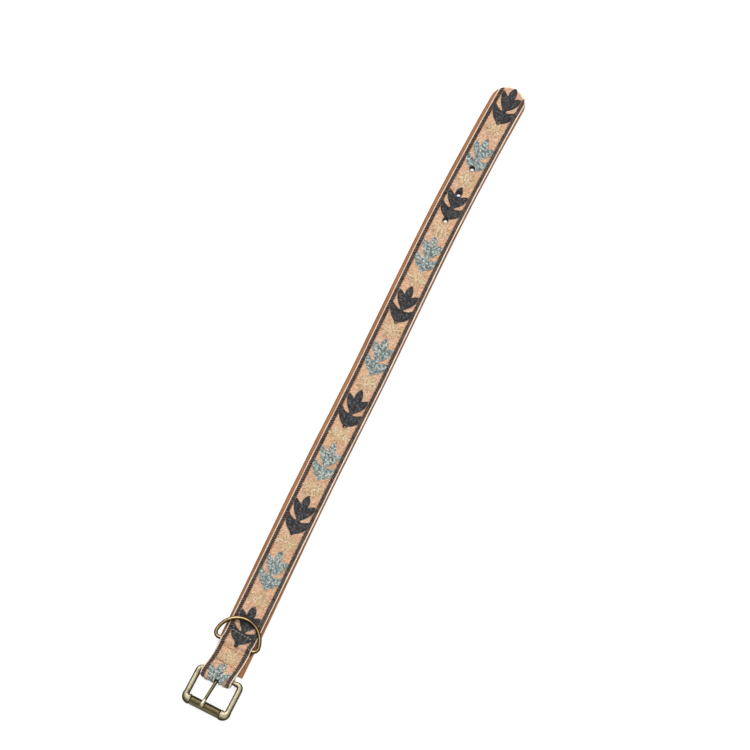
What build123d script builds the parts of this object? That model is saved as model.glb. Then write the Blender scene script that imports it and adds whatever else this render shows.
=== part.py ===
from build123d import *
import math
import os

# An embroidered buckle collar, laid out flat, in millimetres. +X runs along the strap to the buckle,
# +Y runs across it and +Z is up, off the embroidered face. The origin is on the leather's back face,
# near the middle of the strap.

# Strap
STRAP_LENGTH = 545.4        # rounded tip to the end of the fold round the buckle bar
FOLD_X = 272.0              # the end of that fold
LEATHER_WIDTH = 29.4        # a nominal 30 mm strap
LEATHER_THICK = 2.8
LEATHER_END_GAP = 12.0      # from the leather's square end to the end of the fold
TRIM_GAP = 33.0             # past the ring's bar the leather is cut back on its -Y side
TRIM_Y = -12.6
TIP_LENGTH = 14.0           # length of the rounded tip
BEND_LENGTH = 141.4         # the tip end of the strap has taken a slight sideways set
BEND_RADIUS = 2000.0

# Cloth strip sewn on the leather
CLOTH_WIDTH = 25.4
CLOTH_THICK = 1.0
CLOTH_INSET = 0.4           # how far the cloth stays inside the leather's outline at the tip
CLOTH_OFFSET = 0.7          # the strip sits off the leather's centre line, towards +Y
DRIFT_START_GAP = 24.0      # from here to the fold it runs across towards -Y
DRIFT_LENGTH = 20.0
DRIFT = -2.4
PLY_GAP = 0.1               # between the folded-back tail and the cloth above it
PAST_FOLD = 5.0             # how far plan outlines and cutters run past the fold

# Embroidery
THREAD_HEIGHT = 0.8
THREAD_INSET = 0.3          # how far the stitching stays inside the cloth's rounded end
BORDER_WIDTH = 2.9
BORDER_OUTER = 11.9         # from the strip's centre line to the border's outer edge
SEAM_WIDTH = 0.5
SEAM_HEIGHT = 0.5
SEAM_GAP = 0.05             # between a row of seam stitches and the stitching beside it
LONG_SEAM_Y = 8.65
CROSS_SEAM_SLANT = 5.5      # degrees
MOTIF_HALF_WIDTH = 8.3
MOTIF_PITCH = 95.9          # one dark flower to the next
MOTIF_PERIODS = 6
LAST_PERIOD_GAP = 64.2      # from the start of the last dark flower to the end of the fold
BLUE_PHASE = 48.6
ROSETTE_PHASES = (41.4, 89.2)
ROSETTE_RADII = (6.5, 8.0)
FLOWER_LOBES = (            # tip x, tip y, base x, base y, half width
    (0.0, 0.0, 21.0, 0.0, 3.6),
    (6.2, 8.3, 21.5, 0.8, 3.0),
    (18.0, 9.6, 31.5, 0.2, 3.6),
    (18.0, 0.0, 33.6, 0.0, 2.0),
)
CROSS_SEAM_GAPS = (41.9, 28.3, 16.6)  # from each row to the end of the fold

# Adjusting holes
HOLE_RADIUS = 2.2
HOLE_FIRST = 80.1           # from the tip
HOLE_PITCH = 25.0
HOLE_Y = 0.5
HOLE_COUNT = 3

# Buckle
BUCKLE_PLANE_Z = 4.0
BUCKLE_Y = 0.6
BUCKLE_SKEW = 2.2           # degrees the buckle sits turned on the strap, its roller towards -Y
HEEL_BAR_RADIUS = 1.6
HEEL_BAR_GAP = 6.1          # from the bar's axis to the end of the fold
ROLLER_REACH = 25.5         # from the heel bar's axis to the roller's axis
ROLLER_RADIUS = 3.65
ROLLER_LENGTH = 24.5
ROLLER_SEAM = 0.35
AXLE_RADIUS = 2.15
RUNNING_GAP = 0.05
FRAME_THICK = 4.4
FRAME_FRONT = 4.3           # from the roller's axis to the frame's front edge
FRAME_HEEL = 2.6            # from the heel bar's axis to the arms' back ends
FRAME_WIDTH_FRONT = 39.5
FRAME_WIDTH_HEEL = 38.0
WINDOW_WIDTH_FRONT = 30.4
WINDOW_WIDTH_HEEL = 31.2
FRAME_ROUNDING = 1.5
FRONT_DRAFT = 0.2           # the frame's front edge leans back this much beside the roller
FRONT_CORNER = 5.0          # radii of the frame's outer corners in plan
HEEL_CORNER = 3.2
SHOULDER_GAP = 0.3          # between the roller's end and the frame
SHOULDER_RUN = 1.2          # how far behind the roller the arms start to widen
AXLE_BURIED = 1.2           # how far the axle and the bar run into each arm
ROLLER_EDGE = 0.4

# Prong
PRONG_WIDTH = 2.3
PRONG_THICK = 2.2
PRONG_SKEW = 2.1            # degrees from square to the bar, towards -Y
PRONG_Y = -0.6              # where its eye sits along the bar
PRONG_START = 1.9           # the shank starts inside the eye
PRONG_ROUNDING = 0.6
PRONG_TAPER = 3.0           # its top slopes down this far before the roller's axis
PRONG_TIP_PAST = 3.0        # how far its tip goes past the roller's axis
TIP_DROP = 0.35
TIP_NOSE = 0.4
TIP_BEVEL = 0.5
EYE_RADIUS = 2.7
EYE_LENGTH = 3.0
REST_GAP = 0.1              # between the prong and the roller it rests on
SLOT_WIDTH = 4.0
SLOT_BEHIND_BAR = 4.0
SLOT_HEIGHT = 12.0          # of its cutter, above the bar
SLOT_LOW_ANGLE = 42.0       # the slot runs this far below the bar on the end of the fold

# Cloth loop round the heel bar, measured to the middle of the cloth
FOLD_HALF_HEIGHT = 3.5
FOLD_RADIUS = 3.45
TAIL_BEND_RADIUS = 3.4
RISE_START_GAP = 15.0
RISE_ANGLE = 22.0
RISE_RADII = (5.0, 4.0)     # at the foot and the head of the rise
TAIL_ANGLE = 35.0
TAIL_END_GAP = 29.4
TAIL_FOOT_RADIUS = 2.0

# D-ring
RING_WIRE = 1.45
RING_BAR_GAP = 33.1         # from its bar to the end of the fold
RING_BAR_Z = 4.4
RING_CORNER = 3.8           # radius of its corners, measured to the wire's centre
RING_HALF_BAR = 13.75       # half of the bar's straight length
RING_DEPTH = 20.2           # bar centre to arch centre
RING_Y = -0.2
RING_REST_ANGLE = 7.0
TUNNEL_CLEARANCE = 0.3
TUNNEL_ANGLE = 40.0
TUNNEL_FOOT_RADII = (3.0, 2.5)

TIP_X = FOLD_X - STRAP_LENGTH
BEND_X = TIP_X + BEND_LENGTH
DRIFT_X = FOLD_X - DRIFT_START_GAP
DRIFT_END_X = DRIFT_X + DRIFT_LENGTH
LEATHER_END_X = FOLD_X - LEATHER_END_GAP
BAR_X = FOLD_X - HEEL_BAR_GAP
ROLLER_X = BAR_X + ROLLER_REACH
RING_X = FOLD_X - RING_BAR_GAP
FLAT_Z = LEATHER_THICK + CLOTH_THICK / 2
OVER_TAIL_Z = FLAT_Z + CLOTH_THICK + PLY_GAP
FLOWER_LENGTH = FLOWER_LOBES[-1][2]
HALF = CLOTH_THICK / 2
REACH_ALL = 60.0            # wide and high enough to pass right through the collar


def degrees_sin_cos(angle):
    return math.sin(math.radians(angle)), math.cos(math.radians(angle))


def box_between(low, high):
    """A box from one corner to the opposite one."""
    size = [b - a for a, b in zip(low, high)]
    return Pos(*low) * Box(*size, align=(Align.MIN, Align.MIN, Align.MIN))


def plan(s, y):
    """Where a point of the straight strap lies in plan, s along it and y across it, with the tip's set."""
    angle = max(0.0, BEND_X - s) / BEND_RADIUS
    arm = BEND_RADIUS - y
    return max(s, BEND_X) - arm * math.sin(angle), BEND_RADIUS - arm * math.cos(angle)


def strip_centre(s):
    """The y of the cloth strip's centre line."""
    return CLOTH_OFFSET + DRIFT * min(max(0.0, s - DRIFT_X) / DRIFT_LENGTH, 1.0)


def tower(face):
    """A plan face as a tall solid."""
    return extrude(face, REACH_ALL / 2)


def plan_edge(s_low, s_high, y, follow):
    """One long edge of a strip, from the tip end to the buckle end, bent at the tip."""
    def point(s):
        return plan(s, y + (strip_centre(s) if follow else 0.0))
    edges = []
    start = s_low
    if s_low < BEND_X:
        edges.append(ThreePointArc(point(s_low), point((s_low + BEND_X) / 2), point(BEND_X)))
        start = BEND_X
    for turn in (DRIFT_X, DRIFT_END_X) if follow else ():
        edges.append(Line(point(start), point(turn)))
        start = turn
    edges.append(Line(point(start), point(s_high)))
    return edges, point(s_low), point(s_high)


def strip_face(s_low, s_high, y_low, y_high):
    """A long strip in plan that keeps to the cloth's centre line."""
    low, low_start, low_end = plan_edge(s_low, s_high, y_low, True)
    high, high_start, high_end = plan_edge(s_low, s_high, y_high, True)
    caps = [Line(low_end, high_end), Line(high_start, low_start)]
    return make_face(Wire([edge.edge() for edge in low + high + caps]))


def strap_face(inset, s_end):
    """The strap in plan with its rounded tip, drawn in by inset."""
    half = LEATHER_WIDTH / 2 - inset
    shoulder = TIP_X + TIP_LENGTH
    low, low_start, low_end = plan_edge(shoulder, s_end, -half, False)
    high, high_start, high_end = plan_edge(shoulder, s_end, half, False)
    tip = ThreePointArc(low_start, plan(TIP_X + inset, 0), high_start)
    ends = [tip, Line(low_end, high_end)]
    return make_face(Wire([edge.edge() for edge in low + high + ends]))


def parallel(points, radii, off):
    """The path through points, moved off to its left, with its bends kept concentric."""
    headings = [math.atan2(b[1] - a[1], b[0] - a[0]) for a, b in zip(points, points[1:])]
    moved = []
    bends = []
    for i, (x, z) in enumerate(points):
        before = headings[max(i - 1, 0)]
        after = headings[min(i, len(headings) - 1)]
        turn = math.remainder(after - before, 2 * math.pi)
        normal = before + turn / 2 + math.pi / 2
        reach = off / math.cos(turn / 2)
        moved.append((x + reach * math.cos(normal), z + reach * math.sin(normal)))
        if 0 < i < len(points) - 1:
            bends.append(radii[i - 1] - off * math.copysign(1.0, turn))
    return FilletPolyline(*moved, radius=bends)


def cloth_path():
    """Side view of the middle of the cloth: along the top, round the bar and back under itself."""
    tunnel = RING_WIRE + TUNNEL_CLEARANCE + HALF
    sin_t, cos_t = degrees_sin_cos(TUNNEL_ANGLE)
    ramp_top = RING_BAR_Z + tunnel / cos_t
    foot_low = RING_X - (ramp_top - FLAT_Z) * cos_t / sin_t
    foot_high = RING_X + (ramp_top - OVER_TAIL_Z) * cos_t / sin_t
    fold_top = BUCKLE_PLANE_Z + FOLD_HALF_HEIGHT
    fold_low = BUCKLE_PLANE_Z - FOLD_HALF_HEIGHT
    rise_x = FOLD_X - RISE_START_GAP
    rise_end = rise_x + (fold_top - OVER_TAIL_Z) / math.tan(math.radians(RISE_ANGLE))
    front = FOLD_X - HALF
    climb = FOLD_HALF_HEIGHT * math.tan(math.radians(TAIL_ANGLE / 2))
    climb_end = BAR_X - climb - (FLAT_Z - fold_low) / math.tan(math.radians(TAIL_ANGLE))
    points = [
        (TIP_X - PAST_FOLD, FLAT_Z), (foot_low, FLAT_Z), (RING_X, ramp_top), (foot_high, OVER_TAIL_Z),
        (rise_x, OVER_TAIL_Z), (rise_end, fold_top), (front, fold_top), (front, fold_low),
        (BAR_X - climb, fold_low), (climb_end, FLAT_Z), (FOLD_X - TAIL_END_GAP, FLAT_Z),
    ]
    radii = [
        TUNNEL_FOOT_RADII[0], tunnel, TUNNEL_FOOT_RADII[1], *RISE_RADII,
        FOLD_RADIUS, FOLD_RADIUS, TAIL_BEND_RADIUS, TAIL_FOOT_RADIUS,
    ]
    return points, radii


def ribbon(points, radii, low, high):
    """The solid between two parallels of a side-view path, as wide as the collar and more."""
    under = parallel(points, radii, low)
    over = parallel(points, radii, high)
    caps = [Line(under @ 0, over @ 0), Line(under @ 1, over @ 1)]
    face = make_face(Wire(under.edges() + over.edges() + [cap.edge() for cap in caps]))
    return extrude(Plane.XZ * face, REACH_ALL / 2, both=True)


def thread_band(height):
    """The layer of the given height lying on the cloth's outer face, down to the front of the fold."""
    points, radii = cloth_path()
    count = 7
    end = (points[count - 1][0], BUCKLE_PLANE_Z)
    return ribbon(points[:count] + [end], radii[:count - 1], HALF, HALF + height)


def hole_cutter():
    """The punched holes as one set of cylinders."""
    places = [plan(TIP_X + HOLE_FIRST + i * HOLE_PITCH, HOLE_Y) for i in range(HOLE_COUNT)]
    return [Pos(x, y, 0) * Cylinder(HOLE_RADIUS, REACH_ALL) for x, y in places]


def slot_cutter():
    """The slot that lets the prong out of the fold and lets it swing."""
    half = SLOT_WIDTH / 2
    end = FOLD_X + PAST_FOLD
    low_z = BUCKLE_PLANE_Z - (FOLD_RADIUS + HALF) * degrees_sin_cos(SLOT_LOW_ANGLE)[0]
    upper = box_between(
        (BAR_X - SLOT_BEHIND_BAR, -half, BUCKLE_PLANE_Z), (end, half, BUCKLE_PLANE_Z + SLOT_HEIGHT))
    front = box_between(
        (FOLD_X - HALF - FOLD_RADIUS, -half, low_z), (end, half, BUCKLE_PLANE_Z + CLOTH_THICK))
    return [upper, front]


def make_leather():
    """The leather strap, punched, and cut back beside the folded end."""
    trim = box_between(
        (FOLD_X - TRIM_GAP, -LEATHER_WIDTH, -LEATHER_THICK), (FOLD_X, TRIM_Y, 2 * LEATHER_THICK))
    return extrude(strap_face(0.0, LEATHER_END_X), LEATHER_THICK) - hole_cutter() - trim


def make_cloth():
    points, radii = cloth_path()
    outline = tower(strip_face(TIP_X, FOLD_X + PAST_FOLD, -CLOTH_WIDTH / 2, CLOTH_WIDTH / 2))
    tip = tower(strap_face(CLOTH_INSET, FOLD_X + PAST_FOLD))
    return (ribbon(points, radii, -HALF, HALF) & outline & tip) - hole_cutter() - slot_cutter()


def make_border(side, band, tip):
    inner = BORDER_OUTER - BORDER_WIDTH
    low, high = sorted((side * inner, side * BORDER_OUTER))
    return band & tower(strip_face(TIP_X, FOLD_X + PAST_FOLD, low, high)) & tip


def make_long_seam(side, band, tip):
    y = side * LONG_SEAM_Y
    return band & tower(strip_face(TIP_X, FOLD_X, y - SEAM_WIDTH / 2, y + SEAM_WIDTH / 2)) & tip


def cross_seam_bar(gap, width):
    """A bar across the strip between the two long seams."""
    x = FOLD_X - gap
    half = LONG_SEAM_Y - SEAM_WIDTH / 2 - SEAM_GAP
    return Pos(x, strip_centre(x), 0) * Rot(0, 0, -CROSS_SEAM_SLANT) * Box(width, 2 * half, REACH_ALL)


def lobe_face(tip_x, tip_y, base_x, base_y, half_width):
    """A pointed petal or leaf: two arcs between its tip and its base."""
    run_x, run_y = base_x - tip_x, base_y - tip_y
    length = math.hypot(run_x, run_y)
    mid_x, mid_y = (tip_x + base_x) / 2, (tip_y + base_y) / 2
    over_x, over_y = -run_y / length * half_width, run_x / length * half_width
    tip, base = (tip_x, tip_y), (base_x, base_y)
    sides = [
        ThreePointArc(tip, (mid_x + over_x, mid_y + over_y), base),
        ThreePointArc(base, (mid_x - over_x, mid_y - over_y), tip),
    ]
    return make_face(Wire([side.edge() for side in sides]))


def flower_tower():
    """A flower, its centre petal's tip at the origin and its stem along +X, as a tall solid."""
    lobes = []
    for tip_x, tip_y, base_x, base_y, half_width in FLOWER_LOBES:
        lobes.append(lobe_face(tip_x, tip_y, base_x, base_y, half_width))
        if tip_y:
            lobes.append(lobe_face(tip_x, -tip_y, base_x, -base_y, half_width))
    solid = tower(lobes[0])
    for lobe in lobes[1:]:
        solid += tower(lobe)
    return solid


def place_motif(solid, s, length):
    """Moves a motif from the origin to s along the strip, turned to the strip's own direction."""
    x0, y0 = plan(s, strip_centre(s))
    x1, y1 = plan(s + length, strip_centre(s + length))
    angle = math.degrees(math.atan2(y1 - y0, x1 - x0))
    return Pos(x0, y0, 0) * Rot(0, 0, angle) * solid


def make_motifs(band, tip):
    """Every flower and rosette, cut to the thread layer, the strap's outline, the holes and the rows."""
    cutters = hole_cutter() + slot_cutter()
    cutters += [cross_seam_bar(gap, SEAM_WIDTH + 2 * SEAM_GAP) for gap in CROSS_SEAM_GAPS]
    field = tower(strip_face(TIP_X, FOLD_X + PAST_FOLD, -MOTIF_HALF_WIDTH, MOTIF_HALF_WIDTH))
    flower = flower_tower()
    rosette = Pos(ROSETTE_RADII[0], 0, 0) * tower(Ellipse(*ROSETTE_RADII))
    made = {}
    rosettes = 0
    for period in range(MOTIF_PERIODS):
        start = FOLD_X - LAST_PERIOD_GAP - (MOTIF_PERIODS - 1 - period) * MOTIF_PITCH
        made[f"dark_flower_{period + 1}"] = place_motif(flower, start, FLOWER_LENGTH)
        made[f"blue_flower_{period + 1}"] = place_motif(flower, start + BLUE_PHASE, FLOWER_LENGTH)
        for phase in ROSETTE_PHASES:
            if start + phase + ROSETTE_RADII[0] < FOLD_X:
                rosettes += 1
                low_end = start + phase - ROSETTE_RADII[0]
                made[f"cream_rosette_{rosettes}"] = place_motif(rosette, low_end, 2 * ROSETTE_RADII[0])
    return {name: (band & solid & tip & field) - cutters for name, solid in made.items()}


def along_y(radius, length, x, y, z):
    return Pos(x, y, z) * Rot(90, 0, 0) * Cylinder(radius, length)


def make_arm(side):
    """One side of the buckle frame with its front corner, rounded all over."""
    back = BAR_X - FRAME_HEEL
    front = ROLLER_X + FRAME_FRONT
    block = ROLLER_LENGTH / 2 + SHOULDER_GAP
    rear = ROLLER_X - ROLLER_RADIUS
    outline = Polyline(
        (back, WINDOW_WIDTH_HEEL / 2), (rear - SHOULDER_RUN, WINDOW_WIDTH_FRONT / 2),
        (rear + SHOULDER_RUN / 2, block), (front - FRONT_DRAFT, block),
        (front, FRAME_WIDTH_FRONT / 2), (back, FRAME_WIDTH_HEEL / 2), close=True)
    face = make_face(outline.edges())
    corners = face.vertices().sort_by(Axis.X)
    outer_front = corners.sort_by(Axis.Y)[-1]
    face = fillet(outer_front, FRONT_CORNER)
    outer_back = face.vertices().group_by(Axis.X)[0].sort_by(Axis.Y)[-1]
    face = fillet(outer_back, HEEL_CORNER)
    arm = extrude(face, FRAME_THICK / 2, both=True)
    rims = arm.edges().group_by(Axis.Z)
    arm = fillet(rims[0] + rims[-1], FRAME_ROUNDING)
    arm = Pos(0, 0, BUCKLE_PLANE_Z) * arm
    return arm if side > 0 else mirror(arm, Plane.XZ)


def make_frame():
    """The cast frame with its heel bar and the axle the roller turns on."""
    heel = along_y(HEEL_BAR_RADIUS, WINDOW_WIDTH_HEEL + 2 * AXLE_BURIED, BAR_X, 0, BUCKLE_PLANE_Z)
    axle = along_y(AXLE_RADIUS, ROLLER_LENGTH + 2 * (SHOULDER_GAP + AXLE_BURIED), ROLLER_X, 0, BUCKLE_PLANE_Z)
    return make_arm(1) + make_arm(-1) + heel + axle


def make_roller():
    """A tube rolled from sheet, with its open seam at the back."""
    tube = along_y(ROLLER_RADIUS, ROLLER_LENGTH, ROLLER_X, 0, BUCKLE_PLANE_Z)
    tube -= along_y(AXLE_RADIUS + RUNNING_GAP, ROLLER_LENGTH + 2, ROLLER_X, 0, BUCKLE_PLANE_Z)
    rims = tube.edges().filter_by(GeomType.CIRCLE).sort_by(SortBy.RADIUS)[-2:]
    tube = fillet(rims, ROLLER_EDGE)
    seam = Pos(ROLLER_X, 0, BUCKLE_PLANE_Z - ROLLER_RADIUS) * Box(
        ROLLER_SEAM, ROLLER_LENGTH + 2, ROLLER_RADIUS)
    return tube - seam


def make_prong():
    """The tongue: an eye round the heel bar and a shank that rests on the roller."""
    reach = ROLLER_REACH / math.cos(math.radians(PRONG_SKEW))
    lift = math.degrees(math.asin((ROLLER_RADIUS + PRONG_THICK / 2 + REST_GAP) / reach))
    over_roller = reach * math.cos(math.radians(lift))
    tip = over_roller + PRONG_TIP_PAST
    half = PRONG_THICK / 2
    side = Polyline(
        (PRONG_START, -half), (over_roller, -half), (tip, -half - TIP_DROP),
        (tip + TIP_NOSE, -half + TIP_BEVEL), (tip - 2 * TIP_BEVEL, half - TIP_BEVEL),
        (over_roller - PRONG_TAPER, half), (PRONG_START, half), close=True)
    shank = extrude(Plane.XZ * make_face(side.edges()), PRONG_WIDTH / 2, both=True)
    long_edges = shank.edges().filter_by(lambda edge: edge.length > over_roller - 2 * PRONG_TAPER)
    shank = fillet(long_edges, PRONG_ROUNDING)
    shank = Rot(0, 0, -PRONG_SKEW) * (Rot(0, -lift, 0) * shank)
    eye = Rot(90, 0, 0) * Cylinder(EYE_RADIUS, EYE_LENGTH)
    bar_hole = Rot(90, 0, 0) * Cylinder(HEEL_BAR_RADIUS + RUNNING_GAP, 3 * EYE_LENGTH)
    return Pos(BAR_X, PRONG_Y, BUCKLE_PLANE_Z) * (eye + shank - bar_hole)


def make_ring():
    """A D-ring of round wire: a straight bar, two tight corners and an arch that meets them smoothly."""
    corner, half, depth = RING_CORNER, RING_HALF_BAR, RING_DEPTH
    reach = depth - corner
    arch_x = (reach ** 2 - corner ** 2 - half ** 2) / (2 * (reach - corner))
    arch_radius = depth - arch_x
    meet = math.degrees(math.atan2(half, corner - arch_x))
    path = Wire([
        Line((0, -half), (0, half)).edge(),
        CenterArc((corner, half), corner, 180, meet - 180).edge(),
        CenterArc((arch_x, 0), arch_radius, meet, -2 * meet).edge(),
        CenterArc((corner, -half), corner, -meet, meet - 180).edge(),
    ])
    section = Plane(origin=(0, 0, 0), z_dir=(0, 1, 0)) * Circle(RING_WIRE)
    ring = sweep(section, path=path)
    return Pos(RING_X, RING_Y, RING_BAR_Z) * Rot(0, 180 + RING_REST_ANGLE, 0) * ring


def turned_on_strap(part):
    """Puts a part of the buckle, drawn square, where the buckle sits on the strap."""
    return Pos(BAR_X, BUCKLE_Y, 0) * Rot(0, 0, -BUCKLE_SKEW) * Pos(-BAR_X, 0, 0) * part


def make_parts():
    tip = tower(strap_face(CLOTH_INSET + THREAD_INSET, FOLD_X + PAST_FOLD))
    thread = thread_band(THREAD_HEIGHT)
    seam = thread_band(SEAM_HEIGHT)
    parts = {"leather_backing": make_leather(), "embroidered_cloth": make_cloth()}
    for name, side in (("left", -1), ("right", 1)):
        parts[f"border_{name}"] = make_border(side, thread, tip)
        parts[f"long_seam_{name}"] = make_long_seam(side, seam, tip)
    for i, gap in enumerate(CROSS_SEAM_GAPS):
        parts[f"cross_seam_{i + 1}"] = seam & cross_seam_bar(gap, SEAM_WIDTH)
    parts.update(make_motifs(thread, tip))
    for name, part in (("buckle_frame", make_frame()), ("roller", make_roller()), ("prong", make_prong())):
        parts[name] = turned_on_strap(part)
    parts["d_ring"] = make_ring()
    return parts


def write_parts():
    os.makedirs("parts", exist_ok=True)
    for name, part in make_parts().items():
        solids = part.solids()
        shape = solids[0] if len(solids) == 1 else Compound(children=list(solids))
        export_step(shape, f"parts/{name}.step")


write_parts()
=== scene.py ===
import math

import bmesh
import bpy
import numpy as np
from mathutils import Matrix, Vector


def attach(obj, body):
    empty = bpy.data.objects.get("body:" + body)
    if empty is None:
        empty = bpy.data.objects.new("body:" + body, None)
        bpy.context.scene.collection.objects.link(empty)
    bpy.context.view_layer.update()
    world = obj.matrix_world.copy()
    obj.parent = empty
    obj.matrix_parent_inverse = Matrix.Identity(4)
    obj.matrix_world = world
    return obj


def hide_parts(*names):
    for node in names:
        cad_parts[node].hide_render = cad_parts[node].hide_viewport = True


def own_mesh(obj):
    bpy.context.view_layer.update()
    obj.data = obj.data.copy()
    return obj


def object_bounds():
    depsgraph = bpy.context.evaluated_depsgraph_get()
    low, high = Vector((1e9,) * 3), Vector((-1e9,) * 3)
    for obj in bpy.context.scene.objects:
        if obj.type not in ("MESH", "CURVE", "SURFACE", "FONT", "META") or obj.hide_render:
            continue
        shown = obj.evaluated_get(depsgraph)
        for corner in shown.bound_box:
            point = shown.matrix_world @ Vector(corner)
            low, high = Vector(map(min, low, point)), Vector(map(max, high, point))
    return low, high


# An embroidered buckle collar: a woven cloth strip with chain-stitched flowers, sewn on a leather backing.
# Lengths are in millimetres and become metres where a mesh is made. The strap runs along x, from its tip
# to the buckle. s is the way along the cloth: the same as x up to the fold round the buckle's bar, and
# the path's own length from there on.

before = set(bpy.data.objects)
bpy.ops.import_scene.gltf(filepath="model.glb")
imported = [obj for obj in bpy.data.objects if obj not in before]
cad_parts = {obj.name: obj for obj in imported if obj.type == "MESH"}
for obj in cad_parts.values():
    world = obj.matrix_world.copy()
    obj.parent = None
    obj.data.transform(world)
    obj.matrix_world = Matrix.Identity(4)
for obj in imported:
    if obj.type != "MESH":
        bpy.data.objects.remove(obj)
bounds_at_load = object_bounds()
rng = np.random.default_rng(11)
MM = 0.001

# ---------------------------------------------------------------- the strap
TIP_X = -273.4
LEATHER_END_X = 260.0
LEATHER_HALF = 14.7
LEATHER_THICK = 2.8
TIP_LENGTH = 14.0
BEND_X = -132.0             # from here to the tip the strap keeps a slight sideways set
BEND_RADIUS = 2000.0
CLOTH_HALF = 12.7
CLOTH_THICK = 1.0
CLOTH_INSET = 0.4           # from the leather's tip to the cloth's
CLOTH_TIP_RADIUS = 14.35
CLOTH_TIP_MIDDLE = TIP_X + CLOTH_INSET + CLOTH_TIP_RADIUS
HALF = CLOTH_THICK / 2
BORDER_Y = 10.45
BORDER_HALF = 1.35
SEAM_Y = 8.75
FIELD = 8.95                # half the width that the flowers may fill
CROSS_SEAMS = (230.1, 243.7, 255.4)
CROSS_SLANT = 0.096
HOLES = [(-193.3, 0.5), (-168.3, 0.5), (-143.3, 0.5)]
HOLE_RADIUS = 2.2
HOLE_BACK_RADIUS = 1.5      # the punch pulled the leather in towards its back
HOLE_SHADE = 0.12           # how far past its wall a hole's painted shade reaches
TRIM_X, TRIM_Y = 239.0, -12.6   # past the ring the leather is cut narrower on one side
SLOT_HALF = 2.0
SLOT_FROM, LIPS_TO, SLOT_TO = 262.0, 269.5, 275.9
LIPS_SPLIT = 267.6          # behind it the slot's lips give way to the prong, in front of it to the buckle
FOLD_TURN_X = 268.05
FLOWERS = {                 # s of each flower's tip and of its stem's end
    "dark": [
        (-273.0, -236.7), (-174.7, -143.1), (-80.4, -46.1), (15.1, 49.3), (110.1, 144.3), (206.2, 240.8)],
    "blue": [
        (-222.3, -189.8), (-127.5, -94.2), (-32.3, 1.5), (63.3, 96.4), (158.6, 192.1), (255.3, 288.3)]}
ROSETTES = (-232.2, -182.3, -134.3, -88.0, -40.3, 8.3, 55.9, 103.4, 151.3, 200.0, 250.2)
ROSETTE_Y = 0.3
ROSETTE_HALF = (6.6, 7.8)   # its half length and half width
CLOTH_LINE = [              # the cloth's middle from the side: tip, tunnel over the ring, fold, tail
    (-276.0, 3.3), (234.09, 3.3), (238.9, 7.34), (242.4, 4.4), (257.0, 4.4), (264.67, 7.5),
    (271.5, 7.5), (271.5, 0.5), (264.8, 0.5), (260.8, 3.3), (242.6, 3.3)]
CLOTH_BENDS = [3.0, 2.25, 2.5, 5.0, 4.0, 3.45, 3.45, 3.4, 2.0]


def line_with_bends(points, radii):
    """Points along a side-view line whose corners are rounded."""
    points = [np.array(p, float) for p in points]
    out = [points[0]]
    for before, corner, after, radius in zip(points, points[1:], points[2:], radii):
        a = (before - corner) / np.linalg.norm(before - corner)
        b = (after - corner) / np.linalg.norm(after - corner)
        turn = math.pi - math.acos(float(np.clip(a @ b, -1, 1)))
        middle = corner + (a + b) / np.linalg.norm(a + b) * radius / math.cos(turn / 2)
        first, last = corner + a * radius * math.tan(turn / 2), corner + b * radius * math.tan(turn / 2)
        start = math.atan2(*(first - middle)[::-1])
        sweep = math.remainder(math.atan2(*(last - middle)[::-1]) - start, 2 * math.pi)
        for k in range(17):
            angle = start + sweep * k / 16
            out.append(middle + radius * np.array([math.cos(angle), math.sin(angle)]))
    return np.array(out + [points[-1]])


LINE = line_with_bends(CLOTH_LINE, CLOTH_BENDS)
_gaps = np.r_[0, np.cumsum(np.linalg.norm(np.diff(LINE, axis=0), axis=1))]
PATH_U = np.arange(0, _gaps[-1], 0.1)
PATH_X, PATH_Z = np.interp(PATH_U, _gaps, LINE[:, 0]), np.interp(PATH_U, _gaps, LINE[:, 1])
_run, _rise = np.gradient(PATH_X), np.gradient(PATH_Z)
_size = np.hypot(_run, _rise)
NORMAL_X, NORMAL_Z = -_rise / _size, _run / _size
_turned = int(np.argmax(PATH_X >= FOLD_TURN_X))
PATH_S = np.where(PATH_U < PATH_U[_turned], PATH_X, FOLD_TURN_X + PATH_U - PATH_U[_turned])


def eased(knots):
    """A soft curve through a few (x, y) knots, as two arrays."""
    x = np.arange(-290.0, 300.0, 1.0)
    y = np.interp(x, *zip(*knots))
    window = np.hanning(23)
    return x, np.convolve(np.pad(y, 11, mode="edge"), window / window.sum(), mode="valid")


# A real strap is never quite straight: how far the strip and the leather wander to one side
STRIP_WANDER = eased([
    (-273, 0.35), (-245, 0.4), (-205, 0.75), (-160, 0.5), (-120, 0.1), (-80, 0.4), (-40, 0.8), (0, 1.3),
    (40, 1.0), (80, 0.55), (120, 0.65), (195, 0.95), (236, 1.0), (250, 0.55), (259, -0.6), (268, -1.75),
    (290, -1.75)])
LEATHER_WANDER = eased([
    (-273, -0.6), (-205, -0.4), (-120, -0.75), (-80, -0.6), (0, 0.1), (40, -0.15), (80, -0.5), (120, -0.5),
    (160, 0.05), (213, 0.8), (240, 1.1), (262, 1.2)])


def strip_centre(x):
    """The y of the cloth strip's centre line."""
    return np.interp(x, *STRIP_WANDER)


def centre_at(s):
    """As strip_centre, for a place along the cloth's path."""
    return strip_centre(np.interp(s, PATH_S, PATH_X))


def leather_centre(s):
    """The y of the leather's centre line."""
    return np.interp(s, *LEATHER_WANDER)


def bend(s, x, y):
    """The plan position of a point at s along the strap and y across it, with the tip end's set."""
    turn = np.maximum(0.0, BEND_X - s) / BEND_RADIUS
    arm = BEND_RADIUS - y
    return np.where(s < BEND_X, BEND_X, x) - arm * np.sin(turn), np.where(
        s < BEND_X, BEND_RADIUS - arm * np.cos(turn), y)


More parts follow.
